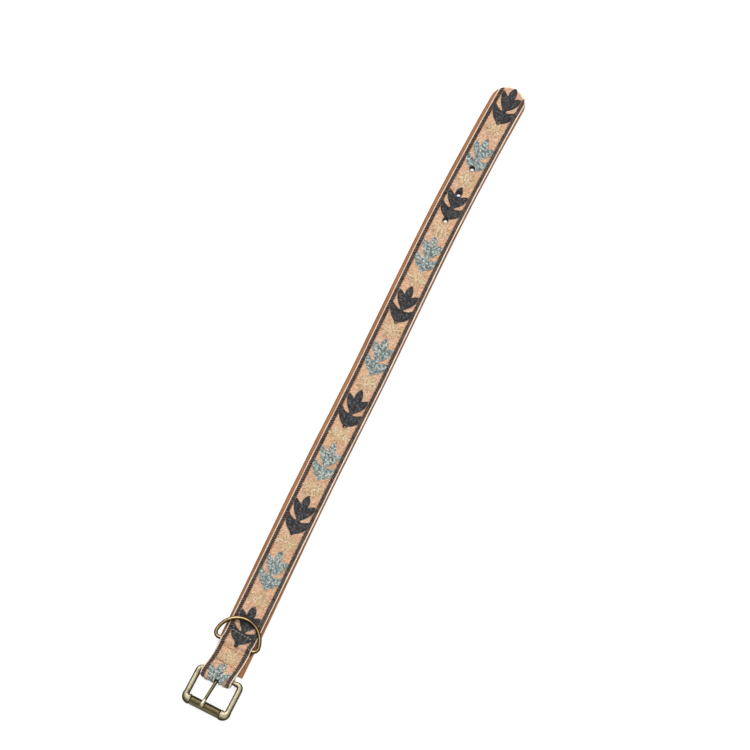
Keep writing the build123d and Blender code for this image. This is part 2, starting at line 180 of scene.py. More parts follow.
def on_cloth(p):
    """(s, y from the strip's centre line, offset from the middle of the cloth) to metres."""
    s, y, off = p[:, 0], p[:, 1], p[:, 2]
    x, z = np.interp(s, PATH_S, PATH_X), np.interp(s, PATH_S, PATH_Z)
    nx, nz = np.interp(s, PATH_S, NORMAL_X), np.interp(s, PATH_S, NORMAL_Z)
    size = np.hypot(nx, nz)
    x_on = x + nx / size * off
    # The fold's corners are pulled back towards the strap
    drawn_in = np.where(y < 0, 1.4, 0.6) * smooth(7.0, 12.5, np.abs(y)) * smooth(265.0, 272.0, x_on)
    px, py = bend(s, x_on - drawn_in, y + strip_centre(x))
    return np.stack([px, py, z + nz / size * off], 1) * MM


def on_thread(p):
    """As on_cloth, with heights measured up from the cloth's outer face."""
    return on_cloth(p + np.array([0, 0, HALF]))


def on_leather(p):
    """(s, y from the leather's centre line, z) to metres."""
    px, py = bend(p[:, 0], p[:, 0], p[:, 1] + leather_centre(p[:, 0]))
    return np.stack([px, py, p[:, 2]], 1) * MM


def on_back(p):
    """(s, y from the strip's centre line, height off the leather's back) to metres."""
    px, py = bend(p[:, 0], p[:, 0], p[:, 1] + strip_centre(p[:, 0]))
    return np.stack([px, py, -p[:, 2]], 1) * MM


def smooth(low, high, x):
    t = np.clip((x - low) / (high - low), 0, 1)
    return t * t * (3 - 2 * t)


_waves = rng.uniform(-1, 1, (14, 4))


def wobble(s, y, scale):
    """Soft irregular waves, about -1 to 1, some scale mm long."""
    total = np.zeros(np.broadcast(s, y).shape)
    for fx, fy, phase, share in _waves:
        total += (0.6 + 0.4 * share) * np.sin(
            2 * math.pi * ((s * (0.5 + abs(fx)) + y * fy) / scale + phase))
    return total / 5.0


# ---------------------------------------------------------------- meshes
def new_piece(name, verts, faces, material, vectors=None, floats=None, merge=False):
    """A smooth-shaded mesh object, with the per-corner attributes that its shader reads."""
    mesh = bpy.data.meshes.new(name)
    mesh.from_pydata(np.asarray(verts, float).tolist(), [], [list(map(int, f)) for f in faces])
    for label, values in (vectors or {}).items():
        layer = mesh.attributes.new(label, "FLOAT_VECTOR", "POINT")
        layer.data.foreach_set("vector", np.asarray(values, np.float32).ravel())
    for label, values in (floats or {}).items():
        layer = mesh.attributes.new(label, "FLOAT", "POINT")
        layer.data.foreach_set("value", np.asarray(values, np.float32).ravel())
    bm = bmesh.new()
    bm.from_mesh(mesh)
    if merge:
        bmesh.ops.remove_doubles(bm, verts=bm.verts, dist=2e-6)
    loose = [v for v in bm.verts if not v.link_faces]
    bmesh.ops.delete(bm, geom=loose, context="VERTS")
    bm.to_mesh(mesh)
    bm.free()
    mesh.polygons.foreach_set("use_smooth", [True] * len(mesh.polygons))
    mesh.materials.append(material)
    obj = bpy.data.objects.new(name, mesh)
    bpy.context.scene.collection.objects.link(obj)
    return obj


def slab(rows, columns, profile, open_cells, capped_start=False):
    """A sheet with a rolled rim. rows gives (s, low y, high y) for an inset, columns the y values of
    every row, and profile the rim as (inset, height) from the top face to the bottom one.
    Returns the corners as (s, y, height), the faces, the index grids of the top and the bottom, and
    which grid corners lie on the wall of an opening."""
    grids, chains = [], []
    for inset, height in profile:
        s, low, high = rows(inset)
        chains.append((s, low, high, height))
    for s, low, high, height in (chains[0], chains[-1]):
        y = columns(s, low, high)
        grids.append(np.stack([np.broadcast_to(s[:, None], y.shape), y, np.full(y.shape, height)], 2))
    top, bottom = grids
    n_rows, n_cols = top.shape[:2]
    count = n_rows * n_cols
    verts = [top.reshape(-1, 3), bottom.reshape(-1, 3)]
    upper = np.arange(count).reshape(n_rows, n_cols)
    lower = upper + count
    left, right = [upper[:, 0]], [upper[:, -1]]
    at = 2 * count
    for s, low, high, height in chains[1:-1]:
        for side, y in ((left, low), (right, high)):
            verts.append(np.stack([s, y, np.full(n_rows, height)], 1))
            side.append(np.arange(at, at + n_rows))
            at += n_rows
    left.append(lower[:, 0])
    right.append(lower[:, -1])
    verts = np.concatenate(verts)
    faces = []
    kept = ~open_cells(top)
    i, j = np.nonzero(kept)
    a, b, c, d = (i, j), (i + 1, j), (i + 1, j + 1), (i, j + 1)
    faces += np.stack([upper[a], upper[b], upper[c], upper[d]], 1).tolist()
    faces += np.stack([lower[a], lower[d], lower[c], lower[b]], 1).tolist()
    for chain, flip in ((right, False), (left, True)):
        for one, two in zip(chain, chain[1:]):
            quad = [one[:-1], one[1:], two[1:], two[:-1]]
            faces += np.stack(quad[::-1] if flip else quad, 1).tolist()

    def end_cap(row):
        quads = [
            [upper[row, k], lower[row, k], lower[row, k + 1], upper[row, k + 1]] for k in range(n_cols - 1)]
        return quads + [
            [upper[row, -1], lower[row, -1]] + [chain[row] for chain in right[1:-1]][::-1],
            [upper[row, 0]] + [chain[row] for chain in left[1:-1]] + [lower[row, 0]]]

    faces += end_cap(-1)
    if capped_start:
        faces += [face[::-1] for face in end_cap(0)]
    edge = np.zeros((n_rows, n_cols), bool)
    for i, j in zip(*np.nonzero(~kept)):
        for beside, one, two in (
                ((i - 1, j), (i, j), (i, j + 1)), ((i + 1, j), (i + 1, j + 1), (i + 1, j)),
                ((i, j - 1), (i + 1, j), (i, j)), ((i, j + 1), (i, j + 1), (i + 1, j + 1))):
            if kept[beside]:
                faces.append([upper[one], lower[one], lower[two], upper[two]])
                edge[one] = edge[two] = True
    return verts, faces, upper, lower, edge


def hole_distance(s, y, centre):
    """How far points are from the middle of the nearest punched hole, with y counted from centre(s)."""
    return np.min([np.hypot(s - hole_s, y + centre(hole_s) - hole_y) for hole_s, hole_y in HOLES], axis=0)


def round_holes(verts, upper, lower, edge, centre, back_radius=HOLE_RADIUS):
    """Moves the corners round each punched hole onto its circle."""
    for hole_s, hole_y in HOLES:
        middle = np.array([hole_s, hole_y - centre(hole_s)])
        for grid, radius in ((upper, HOLE_RADIUS), (lower, back_radius)):
            near = grid[edge]
            away = verts[near, :2] - middle
            far = np.linalg.norm(away, axis=1, keepdims=True)
            mine = far[:, 0] < HOLE_RADIUS + 1.5
            verts[near[mine], :2] = (middle + away / far * radius)[mine]


def seam_distance(s, y, seams=CROSS_SEAMS):
    """How far points are from the nearest cross seam."""
    return np.min([np.abs(s - seam - CROSS_SLANT * y) for seam in seams], axis=0)


def cell_middles(grid):
    quad = (grid[:-1, :-1] + grid[1:, :-1] + grid[:-1, 1:] + grid[1:, 1:]) / 4
    return quad[..., 0], quad[..., 1]


# ---------------------------------------------------------------- materials
def srgb(r, g, b):
    """A display colour, 0 to 255 each, as the linear colour that a shader takes."""
    shares = (c / 255 for c in (r, g, b))
    return tuple(c / 12.92 if c <= 10 / 255 else ((c + 0.055) / 1.055) ** 2.4 for c in shares) + (1.0,)


class Shader:
    """A material under construction. A colour is a socket or an (r, g, b) display colour."""

    def __init__(self, name):
        self.material = bpy.data.materials.new(name)
        self.material.use_nodes = True
        self.tree = self.material.node_tree
        self.tree.nodes.clear()
        self.bsdf = self.tree.nodes.new("ShaderNodeBsdfPrincipled")
        out = self.tree.nodes.new("ShaderNodeOutputMaterial")
        self.tree.links.new(self.bsdf.outputs[0], out.inputs[0])

    def put(self, node, inputs):
        for key, value in inputs.items():
            if isinstance(value, bpy.types.NodeSocket):
                self.tree.links.new(value, node.inputs[key])
            else:
                node.inputs[key].default_value = value

    def add(self, kind, inputs, out=0, **options):
        node = self.tree.nodes.new("ShaderNode" + kind)
        for key, value in options.items():
            setattr(node, key, value)
        self.put(node, inputs)
        return node.outputs[out]

    def math(self, operation, a, b=0.0):
        return self.add("Math", {0: a, 1: b}, operation=operation)

    def plus(self, a, b):
        return self.math("ADD", a, b)

    def times(self, a, b):
        return self.math("MULTIPLY", a, b)

    def mix(self, share, a, b, blend="MIX"):
        a, b = (srgb(*colour) if isinstance(colour, tuple) else colour for colour in (a, b))
        return self.add("Mix", {0: share, 6: a, 7: b}, out=2, data_type="RGBA", blend_type=blend)

    def steps(self, value, low, high, to_low=0.0, to_high=1.0):
        """Goes smoothly from to_low to to_high as value goes from low to high."""
        return self.add(
            "MapRange", {0: value, 1: low, 2: high, 3: to_low, 4: to_high}, interpolation_type="SMOOTHSTEP")

    def noise(self, where, scale, detail=3.0, roughness=0.55):
        return self.add(
            "TexNoise", {"Vector": where, "Scale": scale, "Detail": detail, "Roughness": roughness})

    def vector(self, name):
        return self.add("Attribute", {}, out=1, attribute_name=name)

    def value(self, name):
        return self.add("Attribute", {}, out=2, attribute_name=name)

    def place(self):
        return self.add("TexCoord", {}, out=3)

    def split(self, vector, axis):
        return self.add("SeparateXYZ", {0: vector}, out=axis)

    def stretch(self, vector, x, y, z):
        return self.add("VectorMath", {0: vector, 1: (x, y, z)}, operation="MULTIPLY")

    def bump(self, height, distance, strength):
        return self.add("Bump", {"Height": height, "Distance": distance, "Strength": strength})


def cloth_material():
    """Tan twill, paler along its turned edges, tinted under the stitching."""
    m = Shader("woven_cloth")
    weave = m.vector("weave")
    s, y = m.split(weave, 0), m.split(weave, 1)
    warp = m.math("SINE", m.times(s, 2 * math.pi / 0.7))
    weft = m.math("SINE", m.times(y, 2 * math.pi / 0.62))
    knit = m.plus(m.times(m.times(warp, weft), 0.5), 0.5)
    slub = m.noise(m.stretch(weave, 0.35, 3.0, 1.0), 1.0, 3.0)
    patch = m.noise(weave, 0.045, 2.0)
    fibre = m.noise(m.stretch(weave, 2.5, 9.0, 1.0), 1.0, 4.0)
    slanted = m.add("VectorRotate", {0: weave, 3: 0.9})
    ripple = m.noise(m.stretch(slanted, 0.4, 0.9, 1.0), 1.0, 2.5)
    fleck = m.noise(m.stretch(slanted, 1.2, 1.9, 1.0), 1.0, 3.0)
    tan = m.mix(m.steps(patch, 0.35, 0.65), (208, 166, 142), (212, 164, 120))
    for texture, low, high, first, last, shade, blend in (
            (slub, 0.4, 0.7, 0.0, 0.7, (224, 190, 160), "MIX"),
            (slub, 0.3, 0.48, 0.55, 0.0, (186, 130, 98), "MIX"),
            (knit, 0.0, 1.0, 0.4, 0.0, (206, 168, 138), "MULTIPLY"),
            (ripple, 0.5, 0.66, 0.0, 0.55, (232, 202, 168), "MIX"),
            (ripple, 0.34, 0.47, 0.55, 0.0, (182, 128, 92), "MIX"),
            (fleck, 0.54, 0.68, 0.0, 0.85, (238, 216, 190), "MIX"),
            (fleck, 0.32, 0.46, 0.85, 0.0, (156, 108, 80), "MIX")):
        tan = m.mix(m.steps(texture, low, high, first, last), tan, shade, blend)
    hem = m.mix(m.steps(fibre, 0.3, 0.7), (236, 212, 190), (248, 230, 212))
    colour = m.mix(m.value("hem"), tan, hem)
    colour = m.mix(m.times(m.value("cream"), 0.5), colour, (210, 168, 128))
    # The walls of the punched holes take a dark brown: painted shade
    for coat, shade in (
            ("blue", (116, 134, 134)), ("charcoal", (40, 40, 44)), ("band", (40, 32, 28)),
            ("inside", (44, 30, 26))):
        colour = m.mix(m.value(coat), colour, shade)
    rough = m.steps(fibre, 0.2, 0.8, 0.72, 0.95)
    height = m.plus(m.times(knit, 0.7), m.times(fibre, 0.5))
    m.put(m.bsdf, {
        "Base Color": colour, "Roughness": rough, "Sheen Weight": 0.25, "Sheen Roughness": 0.5,
        "Specular IOR Level": 0.2, "Normal": m.bump(height, 0.00012, 0.8)})
    return m.material


def thread_material(name, dark, middle, light):
    """Twisted yarn. Each stitch carries its own tone, and the plies run round it at a slant, with painted
    shade in the grooves between them.
    """
    m = Shader(name)
    strand = m.vector("strand")
    along, around, tone = (m.split(strand, axis) for axis in range(3))
    turns = m.plus(m.times(along, 2.6), around)
    ply = m.math("SINE", m.times(turns, 2 * math.pi))
    fuzz = m.noise(m.place(), 5200.0, 4.0)
    fade = m.noise(m.place(), 190.0, 2.0)
    low = m.mix(m.steps(tone, 0.0, 0.5), dark, middle)
    colour = m.mix(m.steps(tone, 0.5, 1.0), low, light)
    colour = m.mix(m.steps(fade, 0.35, 0.7, 0.0, 0.35), colour, middle)
    # Painted shade: the grooves between the plies are darkened
    colour = m.mix(m.steps(ply, -1.0, 0.4, 0.5, 0.0), colour, (120, 112, 110), "MULTIPLY")
    height = m.plus(m.times(ply, 0.5), m.times(fuzz, 0.6))
    m.put(m.bsdf, {
        "Base Color": colour, "Roughness": m.steps(fuzz, 0.2, 0.8, 0.5, 0.8),
        "Sheen Weight": 0.15, "Specular IOR Level": 0.3, "Normal": m.bump(height, 0.00006, 0.8)})
    return m.material


def leather_material():
    """Smooth tan leather with pores, a dark crease, a burnished edge and a napped back, with a painted shadow
    beside the cloth's edges and painted shade in its holes.
    """
    m = Shader("tan_leather")
    place = m.place()
    skin = m.vector("skin")
    cloud = m.noise(place, 28.0, 4.0)
    mottle = m.noise(place, 240.0, 4.0)
    pores = m.add("TexVoronoi", {"Vector": place, "Scale": 1500.0})
    scuff = m.noise(m.stretch(skin, 0.25, 2.6, 2.0), 1.0, 5.0)
    colour = m.mix(m.steps(cloud, 0.35, 0.65), (142, 84, 34), (160, 102, 48))
    colour = m.mix(m.steps(mottle, 0.35, 0.75, 0.0, 0.3), colour, (184, 134, 86))
    colour = m.mix(m.steps(scuff, 0.55, 0.8, 0.0, 0.35), colour, (126, 80, 40))
    # The last of these three is a painted shadow on the leather along the cloth's edges
    for coat, share, shade in (
            ("rim", 0.75, (142, 94, 52)), ("crease", 0.8, (112, 64, 28)), ("cloth_edge_shadow", 0.85, (92, 50, 22))):
        colour = m.mix(m.times(m.value(coat), share), colour, shade)
    nap = m.noise(m.stretch(skin, 1.2, 3.5, 1.0), 1.0, 6.0, 0.7)
    flesh = m.mix(m.steps(nap, 0.3, 0.75), (152, 108, 70), (188, 146, 104))
    colour = m.mix(m.value("flesh"), colour, flesh)
    # Painted shade on the walls of the punched holes
    colour = m.mix(m.value("inside"), colour, (52, 32, 22))
    grain = m.plus(m.times(pores, 0.5), m.times(mottle, 0.8))
    height = m.plus(grain, m.times(m.times(nap, m.value("flesh")), 2.0))
    rough = m.plus(m.steps(mottle, 0.2, 0.8, 0.42, 0.6), m.times(m.value("flesh"), 0.35))
    m.put(m.bsdf, {
        "Base Color": colour, "Roughness": rough, "Specular IOR Level": 0.4,
        "Normal": m.bump(height, 0.00012, 0.5)})
    return m.material


def brass_material(name, dark, middle, light, rough, low, high):
    """Antiqued brass: dark patina in clouds and specks, laid over painted light and shade: faces that point
    up are painted lighter, up to a painted highlight, and faces turned sideways or down are painted darker.
    low and high are the levels of this painted light and wear at which it has left the dark and reached the
    middle colour."""
    m = Shader(name)
    place = m.place()
    cloud = m.noise(place, 90.0, 4.0)
    fine = m.noise(place, 900.0, 5.0, 0.65)
    brush = m.noise(m.stretch(place, 300.0, 2600.0, 2600.0), 1.0, 3.0)
    # Painted light and shade: how much a face points up, with cloudy patina added
    painted_light_and_wear = m.plus(m.value("painted_light_and_wear"), m.times(m.math("SUBTRACT", cloud, 0.5), 0.35))
    colour = m.mix(m.steps(painted_light_and_wear, low, high), dark, middle)
    colour = m.mix(m.steps(painted_light_and_wear, high, 1.02), colour, light)
    colour = m.mix(m.steps(fine, 0.5, 0.75, 0.0, 0.5), colour, dark)
    height = m.plus(m.times(brush, 0.5), fine)
    roughness = m.plus(m.steps(fine, 0.25, 0.75, rough - 0.08, rough + 0.1), m.times(brush, 0.06))
    m.put(m.bsdf, {
        "Base Color": colour, "Metallic": 1.0, "Roughness": roughness,
        "Normal": m.bump(height, 0.00003, 0.35)})
    return m.material


CLOTH = cloth_material()
CHARCOAL = thread_material("charcoal_yarn", (37, 34, 35), (69, 67, 68), (124, 126, 130))
BORDER = thread_material("border_yarn", (24, 18, 16), (54, 45, 41), (140, 124, 112))
BLUE = thread_material("blue_yarn", (98, 119, 124), (173, 186, 181), (244, 245, 235))
CREAM = thread_material("cream_yarn", (202, 158, 112), (236, 202, 154), (254, 242, 212))
SEAM = thread_material("seam_yarn", (136, 88, 62), (168, 116, 86), (190, 140, 110))
SEAM_LIGHT = thread_material("pale_seam_yarn", (168, 160, 154), (204, 196, 190), (226, 220, 214))
LEATHER = leather_material()
# Each brass is painted lighter where it faces up, with a painted highlight, and darker where it faces
# sideways or down
BRASS = brass_material("antique_brass", (36, 30, 18), (104, 95, 68), (178, 170, 142), 0.36, 0.35, 0.8)
ROLLER_BRASS = brass_material("roller_brass", (48, 42, 26), (106, 97, 68), (166, 156, 120), 0.38, 0.2, 0.72)
RING_BRASS = brass_material("ring_brass", (34, 24, 12), (92, 70, 38), (200, 174, 124), 0.32, 0.55, 0.88)

# ---------------------------------------------------------------- embroidery patterns
HALF_FLOWER = [  # x from the centre petal's tip, y from the stem, and how sharp the point is
    (0.0, 0.0, 2), (1.5, 1.8, 1), (4.4, 3.0, 1), (7.0, 3.2, 1), (8.8, 3.0, 2), (8.0, 4.4, 1),
    (6.9, 6.0, 1), (6.2, 8.2, 2), (8.2, 9.0, 1), (11.6, 8.3, 1), (15.2, 6.6, 1), (18.2, 4.3, 1),
    (20.4, 1.9, 1), (21.9, 1.7, 1), (21.6, 3.8, 1), (20.2, 6.6, 1), (18.0, 9.5, 3), (22.0, 9.8, 1),
    (26.2, 8.5, 1), (29.5, 6.0, 1), (31.5, 3.2, 1), (32.5, 1.7, 2), (34.1, 1.3, 1), (34.4, 0.0, 1)]
LOBES = [                   # each petal's and leaf's midrib, from its tip to its root
    ((0, 0), (21, 0)), ((6.2, 8.3), (21.5, 0.8)), ((6.2, -8.3), (21.5, -0.8)),
    ((18, 9.6), (30.5, 0.6)), ((18, -9.6), (30.5, -0.6)), ((20, 0), (33.6, 0))]
FLOWER_LENGTH = HALF_FLOWER[-1][0]
FLOWER_SHEAR = 0.09         # its wings on one side reach further back than on the other
FLOWER_TURN = 0.012
FLOWER_Y = -0.1
CHEVRON = math.radians(50)  # how far the rows of a petal slant from its midrib
LINK_STEP, ROW_STEP = 1.3, 0.92
FLOWER_LINK = {"length": 1.6, "width": 0.56, "radius": 0.225}
ROSETTE_LINK = {"length": 1.5, "width": 0.5, "radius": 0.2, "base": 0.2, "lift": 0.18}


def rounded(points, rounds=3):
    """A closed outline with its corners cut, more so where a corner isn't repeated."""
    for _ in range(rounds):
        following = np.roll(points, -1, axis=0)
        cuts = [0.75 * points + 0.25 * following, 0.25 * points + 0.75 * following]
        points = np.stack(cuts, 1).reshape(-1, 2)
    return points


def flower_outline(variation):
    """The closed outline of one flower, a little different for each."""
    one = [(x, y) for x, y, sharp in HALF_FLOWER for _ in range(sharp)]
    other = [(x, -y) for x, y, sharp in HALF_FLOWER[-2:0:-1] for _ in range(sharp)]
    points = np.array(one + other, float)
    points += variation.normal(0, 0.12, points.shape)
    return rounded(points)


def signed_distance(points, outline):
    """Distance to a closed outline, negative inside it."""
    best = np.full(len(points), 1e9)
    inside = np.zeros(len(points), bool)
    px, py = points.T
    for (ax, ay), (bx, by) in zip(outline, np.roll(outline, -1, axis=0)):
        run, rise = bx - ax, by - ay
        t = np.clip(((px - ax) * run + (py - ay) * rise) / max(run * run + rise * rise, 1e-12), 0, 1)
        best = np.minimum(best, np.hypot(px - ax - t * run, py - ay - t * rise))
        crosses = (ay > py) != (by > py)
        inside ^= crosses & (px < ax + (py - ay) * run / (rise if abs(rise) > 1e-12 else 1e-12))
    return np.where(inside, -best, best)


def segment_distance(points, a, b):
    """Distance to the straight line between a and b."""
    a, b = np.array(a, float), np.array(b, float)
    t = np.clip(((points - a) @ (b - a)) / ((b - a) @ (b - a)), 0, 1)
    return np.linalg.norm(points - a - t[:, None] * (b - a), axis=1)


def along_outline(outline, step, inset):
    """Points and headings every step mm along an outline, moved inward."""
    closed = np.vstack([outline, outline[:1]])
    gaps = np.r_[0, np.cumsum(np.linalg.norm(np.diff(closed, axis=0), axis=1))]
    count = int(gaps[-1] / step)
    at = np.arange(count) * gaps[-1] / count

    def point(at):
        return np.stack([np.interp(at % gaps[-1], gaps, closed[:, i]) for i in (0, 1)], 1)

    here, ahead, behind = point(at), point(at + 0.4), point(at - 0.4)
    heading = np.arctan2(*(ahead - behind).T[::-1])
    area = (closed[:-1, 0] * closed[1:, 1] - closed[1:, 0] * closed[:-1, 1]).sum()
    side = heading + math.copysign(math.pi / 2, area)
    return here + inset * np.stack([np.cos(side), np.sin(side)], 1), heading


YARN_FLATNESS = 0.85
LINK_POINTS, RUN_POINTS = 10, 8


class Stitches:
    """A set of stitches that become one piece, in (s, y, height) on some face."""

    def __init__(self):
        self.verts, self.faces, self.strand, self.count = [], [], [], 0

    def tubes(self, centres, radii, tones, sides=6, closed=False, flip=False):
        """Slightly flattened tubes along n lines of k centres. flip is for work on a back face."""
        n, k = centres.shape[:2]
        if n == 0:
            return
        if closed:
            run = np.roll(centres, -1, axis=1) - np.roll(centres, 1, axis=1)
        else:
            run = np.gradient(centres, axis=1)
        run /= np.linalg.norm(run, axis=2, keepdims=True)
        side = np.cross(run, np.array([0.0, 0.0, 1.0]))
        side /= np.maximum(np.linalg.norm(side, axis=2, keepdims=True), 1e-9)
        up = np.cross(side, run)
        angle = np.arange(sides) * 2 * math.pi / sides
        ring = np.cos(angle)[:, None] * side[:, :, None, :]
        ring = ring + YARN_FLATNESS * np.sin(angle)[:, None] * up[:, :, None, :]
        verts = centres[:, :, None, :] + radii[..., None, None] * ring
        index = self.count + np.arange(n * k * sides).reshape(n, k, sides)
        ahead = np.roll(index, -1, axis=1) if closed else index[:, 1:]
        here = index if closed else index[:, :-1]
        quads = [here, ahead, np.roll(ahead, -1, axis=2), np.roll(here, -1, axis=2)]
        quads = np.stack(quads[::-1] if flip else quads, -1).reshape(-1, 4)
        self.faces += quads.tolist()
        if not closed:
            first, last = index[:, 0, :], index[:, -1, ::-1]
            self.faces += (first[:, ::-1] if flip else first).tolist()
            self.faces += (last[:, ::-1] if flip else last).tolist()
        step = np.linalg.norm(np.diff(centres, axis=1), axis=2)
        along = np.concatenate([np.zeros((n, 1)), np.cumsum(step, axis=1)], 1)
        strand = np.stack(np.broadcast_arrays(
            along[:, :, None], (angle / (2 * math.pi))[None, None, :], tones[:, None, None]), -1)
        self.verts.append(verts.reshape(-1, 3))
        self.strand.append(strand.reshape(-1, 3))
        self.count += n * k * sides

    def chains(self, anchors, headings, tones, length, width, radius, base=0.26, lift=0.22):
        """Chain-stitch links: closed loops, narrow where each comes out of the one before."""
        if len(anchors) == 0:
            return
        turn = np.arange(LINK_POINTS) * 2 * math.pi / LINK_POINTS
        lx = length / 2 * (1 - np.cos(turn))
        ly = width / 2 * np.sin(turn) * (0.8 - 0.3 * np.cos(turn))
        lh = base + lift * (1 - np.cos(turn)) / 2
        c, s = np.cos(headings)[:, None], np.sin(headings)[:, None]
        grow = rng.uniform(0.92, 1.08, (len(anchors), 1))
        centres = np.stack([
            anchors[:, :1] + (lx * c - ly * s) * grow, anchors[:, 1:2] + (lx * s + ly * c) * grow,
            lh + rng.normal(0, 0.03, (len(anchors), 1))], -1)
        radii = np.broadcast_to(radius * (1 + 0.12 * np.cos(turn)), (len(anchors), LINK_POINTS))
        self.tubes(centres, radii, tones, sides=5, closed=True)

    def runs(self, starts, ends, tones, radius, high, low=-0.25, flip=False, bow=0.0):
        """Single stitches from start to end that dive into the cloth at both ends."""
        if len(starts) == 0:
            return
        t = np.linspace(0, 1, RUN_POINTS)
        arch = np.sin(math.pi * t) ** 0.45
        centres = starts[:, None, :] * (1 - t)[None, :, None] + ends[:, None, :] * t[None, :, None]
        across = (ends - starts)[:, ::-1] * np.array([-1.0, 1.0])
        across /= np.linalg.norm(across, axis=1, keepdims=True)
        centres = centres + bow * np.sin(2 * math.pi * t)[None, :, None] * across[:, None, :]
        high = np.broadcast_to(high, (len(starts),))
        height = low + (high[:, None] - low) * arch[None, :]
        centres = np.concatenate([centres, height[:, :, None]], 2)
        taper = 0.55 + 0.45 * np.sin(math.pi * t) ** 0.5
        radii = np.broadcast_to(radius, (len(starts),))[:, None] * taper
        self.tubes(centres, radii, tones, flip=flip)

    def piece(self, name, material, slot_name, surface=on_thread):
        verts = surface(np.concatenate(self.verts))
        strand = np.concatenate(self.strand)
        return new_piece(name, verts, self.faces, material, vectors={"strand": strand})


AMPLE = 99.0                # a room that nothing runs out of


def clear_of_holes(points, margin):
    return hole_distance(points[:, 0], points[:, 1], centre_at) > HOLE_RADIUS + margin


def tip_room(points):
    """How far points on the strip are inside the cloth's rounded end."""
    s, y = points.T
    far = np.hypot(s - CLOTH_TIP_MIDDLE, y + centre_at(s) - leather_centre(s))
    return np.where(s > CLOTH_TIP_MIDDLE, AMPLE, CLOTH_TIP_RADIUS - far)


def in_slot(points):
    """0 off the slot, -1 or 1 on its lips, 2 where it stays open."""
    s, y = points[:, 0], points[:, 1] + centre_at(points[:, 0])
    on = (s > SLOT_FROM) & (np.abs(y) < SLOT_HALF) & (s < SLOT_TO + 1.0)
    return np.where(on & (s > LIPS_TO - 0.7), 2, np.where(on, np.where(y < 0, -1, 1), 0))


lips = {(side, part): Stitches() for side in (-1, 1) for part in ("rear", "front")}


def place_flower(local, start):
    """From a flower's own x and y to s and y on the strip."""
    return np.stack([
        start + local[:, 0] + FLOWER_SHEAR * local[:, 1],
        FLOWER_Y + local[:, 1] + FLOWER_TURN * local[:, 0]], 1)


def stitch_flower(start, stretch, variation, tones, contrast):
    """Fills one flower: a chain all round its outline, then chains along each petal and leaf. stretch is
    its length against the pattern's, tones the spread of its yarn and contrast that of its rows."""
    work = Stitches()
    outline = flower_outline(variation)
    outline[:, 0] *= stretch
    anchors, headings, bright = [], [], []
    edge_points, edge_heading = along_outline(outline, LINK_STEP, 0.5)
    keep = signed_distance(edge_points, outline) < -0.3
    back = 0.5 * LINK_STEP * np.stack([np.cos(edge_heading), np.sin(edge_heading)], 1)
    anchors.append((edge_points - back)[keep])
    headings.append(edge_heading[keep])
    bright.append(np.full(keep.sum(), 0.45))
    rows, cells = np.mgrid[-34:35, -24:25].reshape(2, -1)
    for number, (tip, root) in enumerate(LOBES):
        tip, root = np.array(tip, float), np.array(root, float)
        axis = math.atan2(*(root - tip)[::-1])
        for half in (-1, 1):
            heading = axis - half * CHEVRON
            ahead = np.array([math.cos(heading), math.sin(heading)])
            aside = np.array([-ahead[1], ahead[0]])
            steps = (cells + 0.5 * (rows % 2)) * LINK_STEP
            where = tip + steps[:, None] * ahead + (rows * ROW_STEP)[:, None] * aside
            where = where + variation.normal(0, 0.05, where.shape)
            nearest = np.stack([segment_distance(where, a, b) for a, b in LOBES]).argmin(0)
            offset = (where - tip) @ np.array([-math.sin(axis), math.cos(axis)])
            keep = (nearest == number) & (signed_distance(where, outline) < -0.95) & (offset * half > 0)
            anchors.append(where[keep] - 0.5 * LINK_STEP * ahead)
            headings.append(np.full(keep.sum(), heading) + variation.normal(0, 0.07, keep.sum()))
            light = (rows + 2 * (cells // 2)) % 4 < 2
            bright.append(np.where(light[keep], 0.5 + contrast, 0.5 - contrast))
    anchors, headings, bright = np.concatenate(anchors), np.concatenate(headings), np.concatenate(bright)
    middles = anchors + 0.8 * np.stack([np.cos(headings), np.sin(headings)], 1)
    middles, anchors = place_flower(middles, start), place_flower(anchors, start)
    ok = clear_of_holes(middles, 0.75) & (tip_room(middles) > 0.9) & (np.abs(middles[:, 1]) < FIELD)
    ok &= seam_distance(*middles.T, CROSS_SEAMS[1:]) > 0.75
    shade = np.clip(bright + variation.normal(0, tones, len(bright)), 0, 1)
    zone = in_slot(middles)
    in_front = middles[:, 0] > LIPS_SPLIT + 0.3
    targets = [(work, ok & (zone == 0))]
    for (side, part), lip in lips.items():
        targets.append((lip, ok & (zone == side) & (in_front == (part == "front"))))
    for target, take in targets:
        target.chains(anchors[take], headings[take], shade[take], **FLOWER_LINK)
    return work, outline


SPOKES = 22
SPOKE_STEP = 1.26


def stitch_rosette(middle, variation):
    """Rows of small links that run out from a centre, uneven in length."""
    work = Stitches()
    anchors, headings = [], []
    for k in range(SPOKES):
        for part, first in ((0.0, 0.7), (0.5, 3.4)):
            heading = 2 * math.pi * (k + part) / SPOKES + variation.normal(0, 0.07)
            reach = variation.uniform(6.0, 7.8) + 1.6 * abs(math.cos(2 * heading))
            radius = first
            while radius < reach - 0.6:
                if variation.random() > 0.1:
                    headings.append(heading + variation.normal(0, 0.16))
                    anchors.append((radius * math.cos(heading) * 0.84, radius * math.sin(heading)))
                radius += SPOKE_STEP
    anchors, headings = np.array(anchors) + np.array([middle, ROSETTE_Y]), np.array(headings)
    middles = anchors + 0.65 * np.stack([np.cos(headings), np.sin(headings)], 1)
    ok = clear_of_holes(middles, 0.7) & (np.abs(middles[:, 1]) < FIELD - 0.3) & (in_slot(middles) == 0)
    ok &= seam_distance(*middles.T) > 0.7
    shade = np.clip(variation.normal(0.6, 0.34, len(headings)), 0, 1)
    work.chains(anchors[ok], headings[ok], shade[ok], **ROSETTE_LINK)
    return work


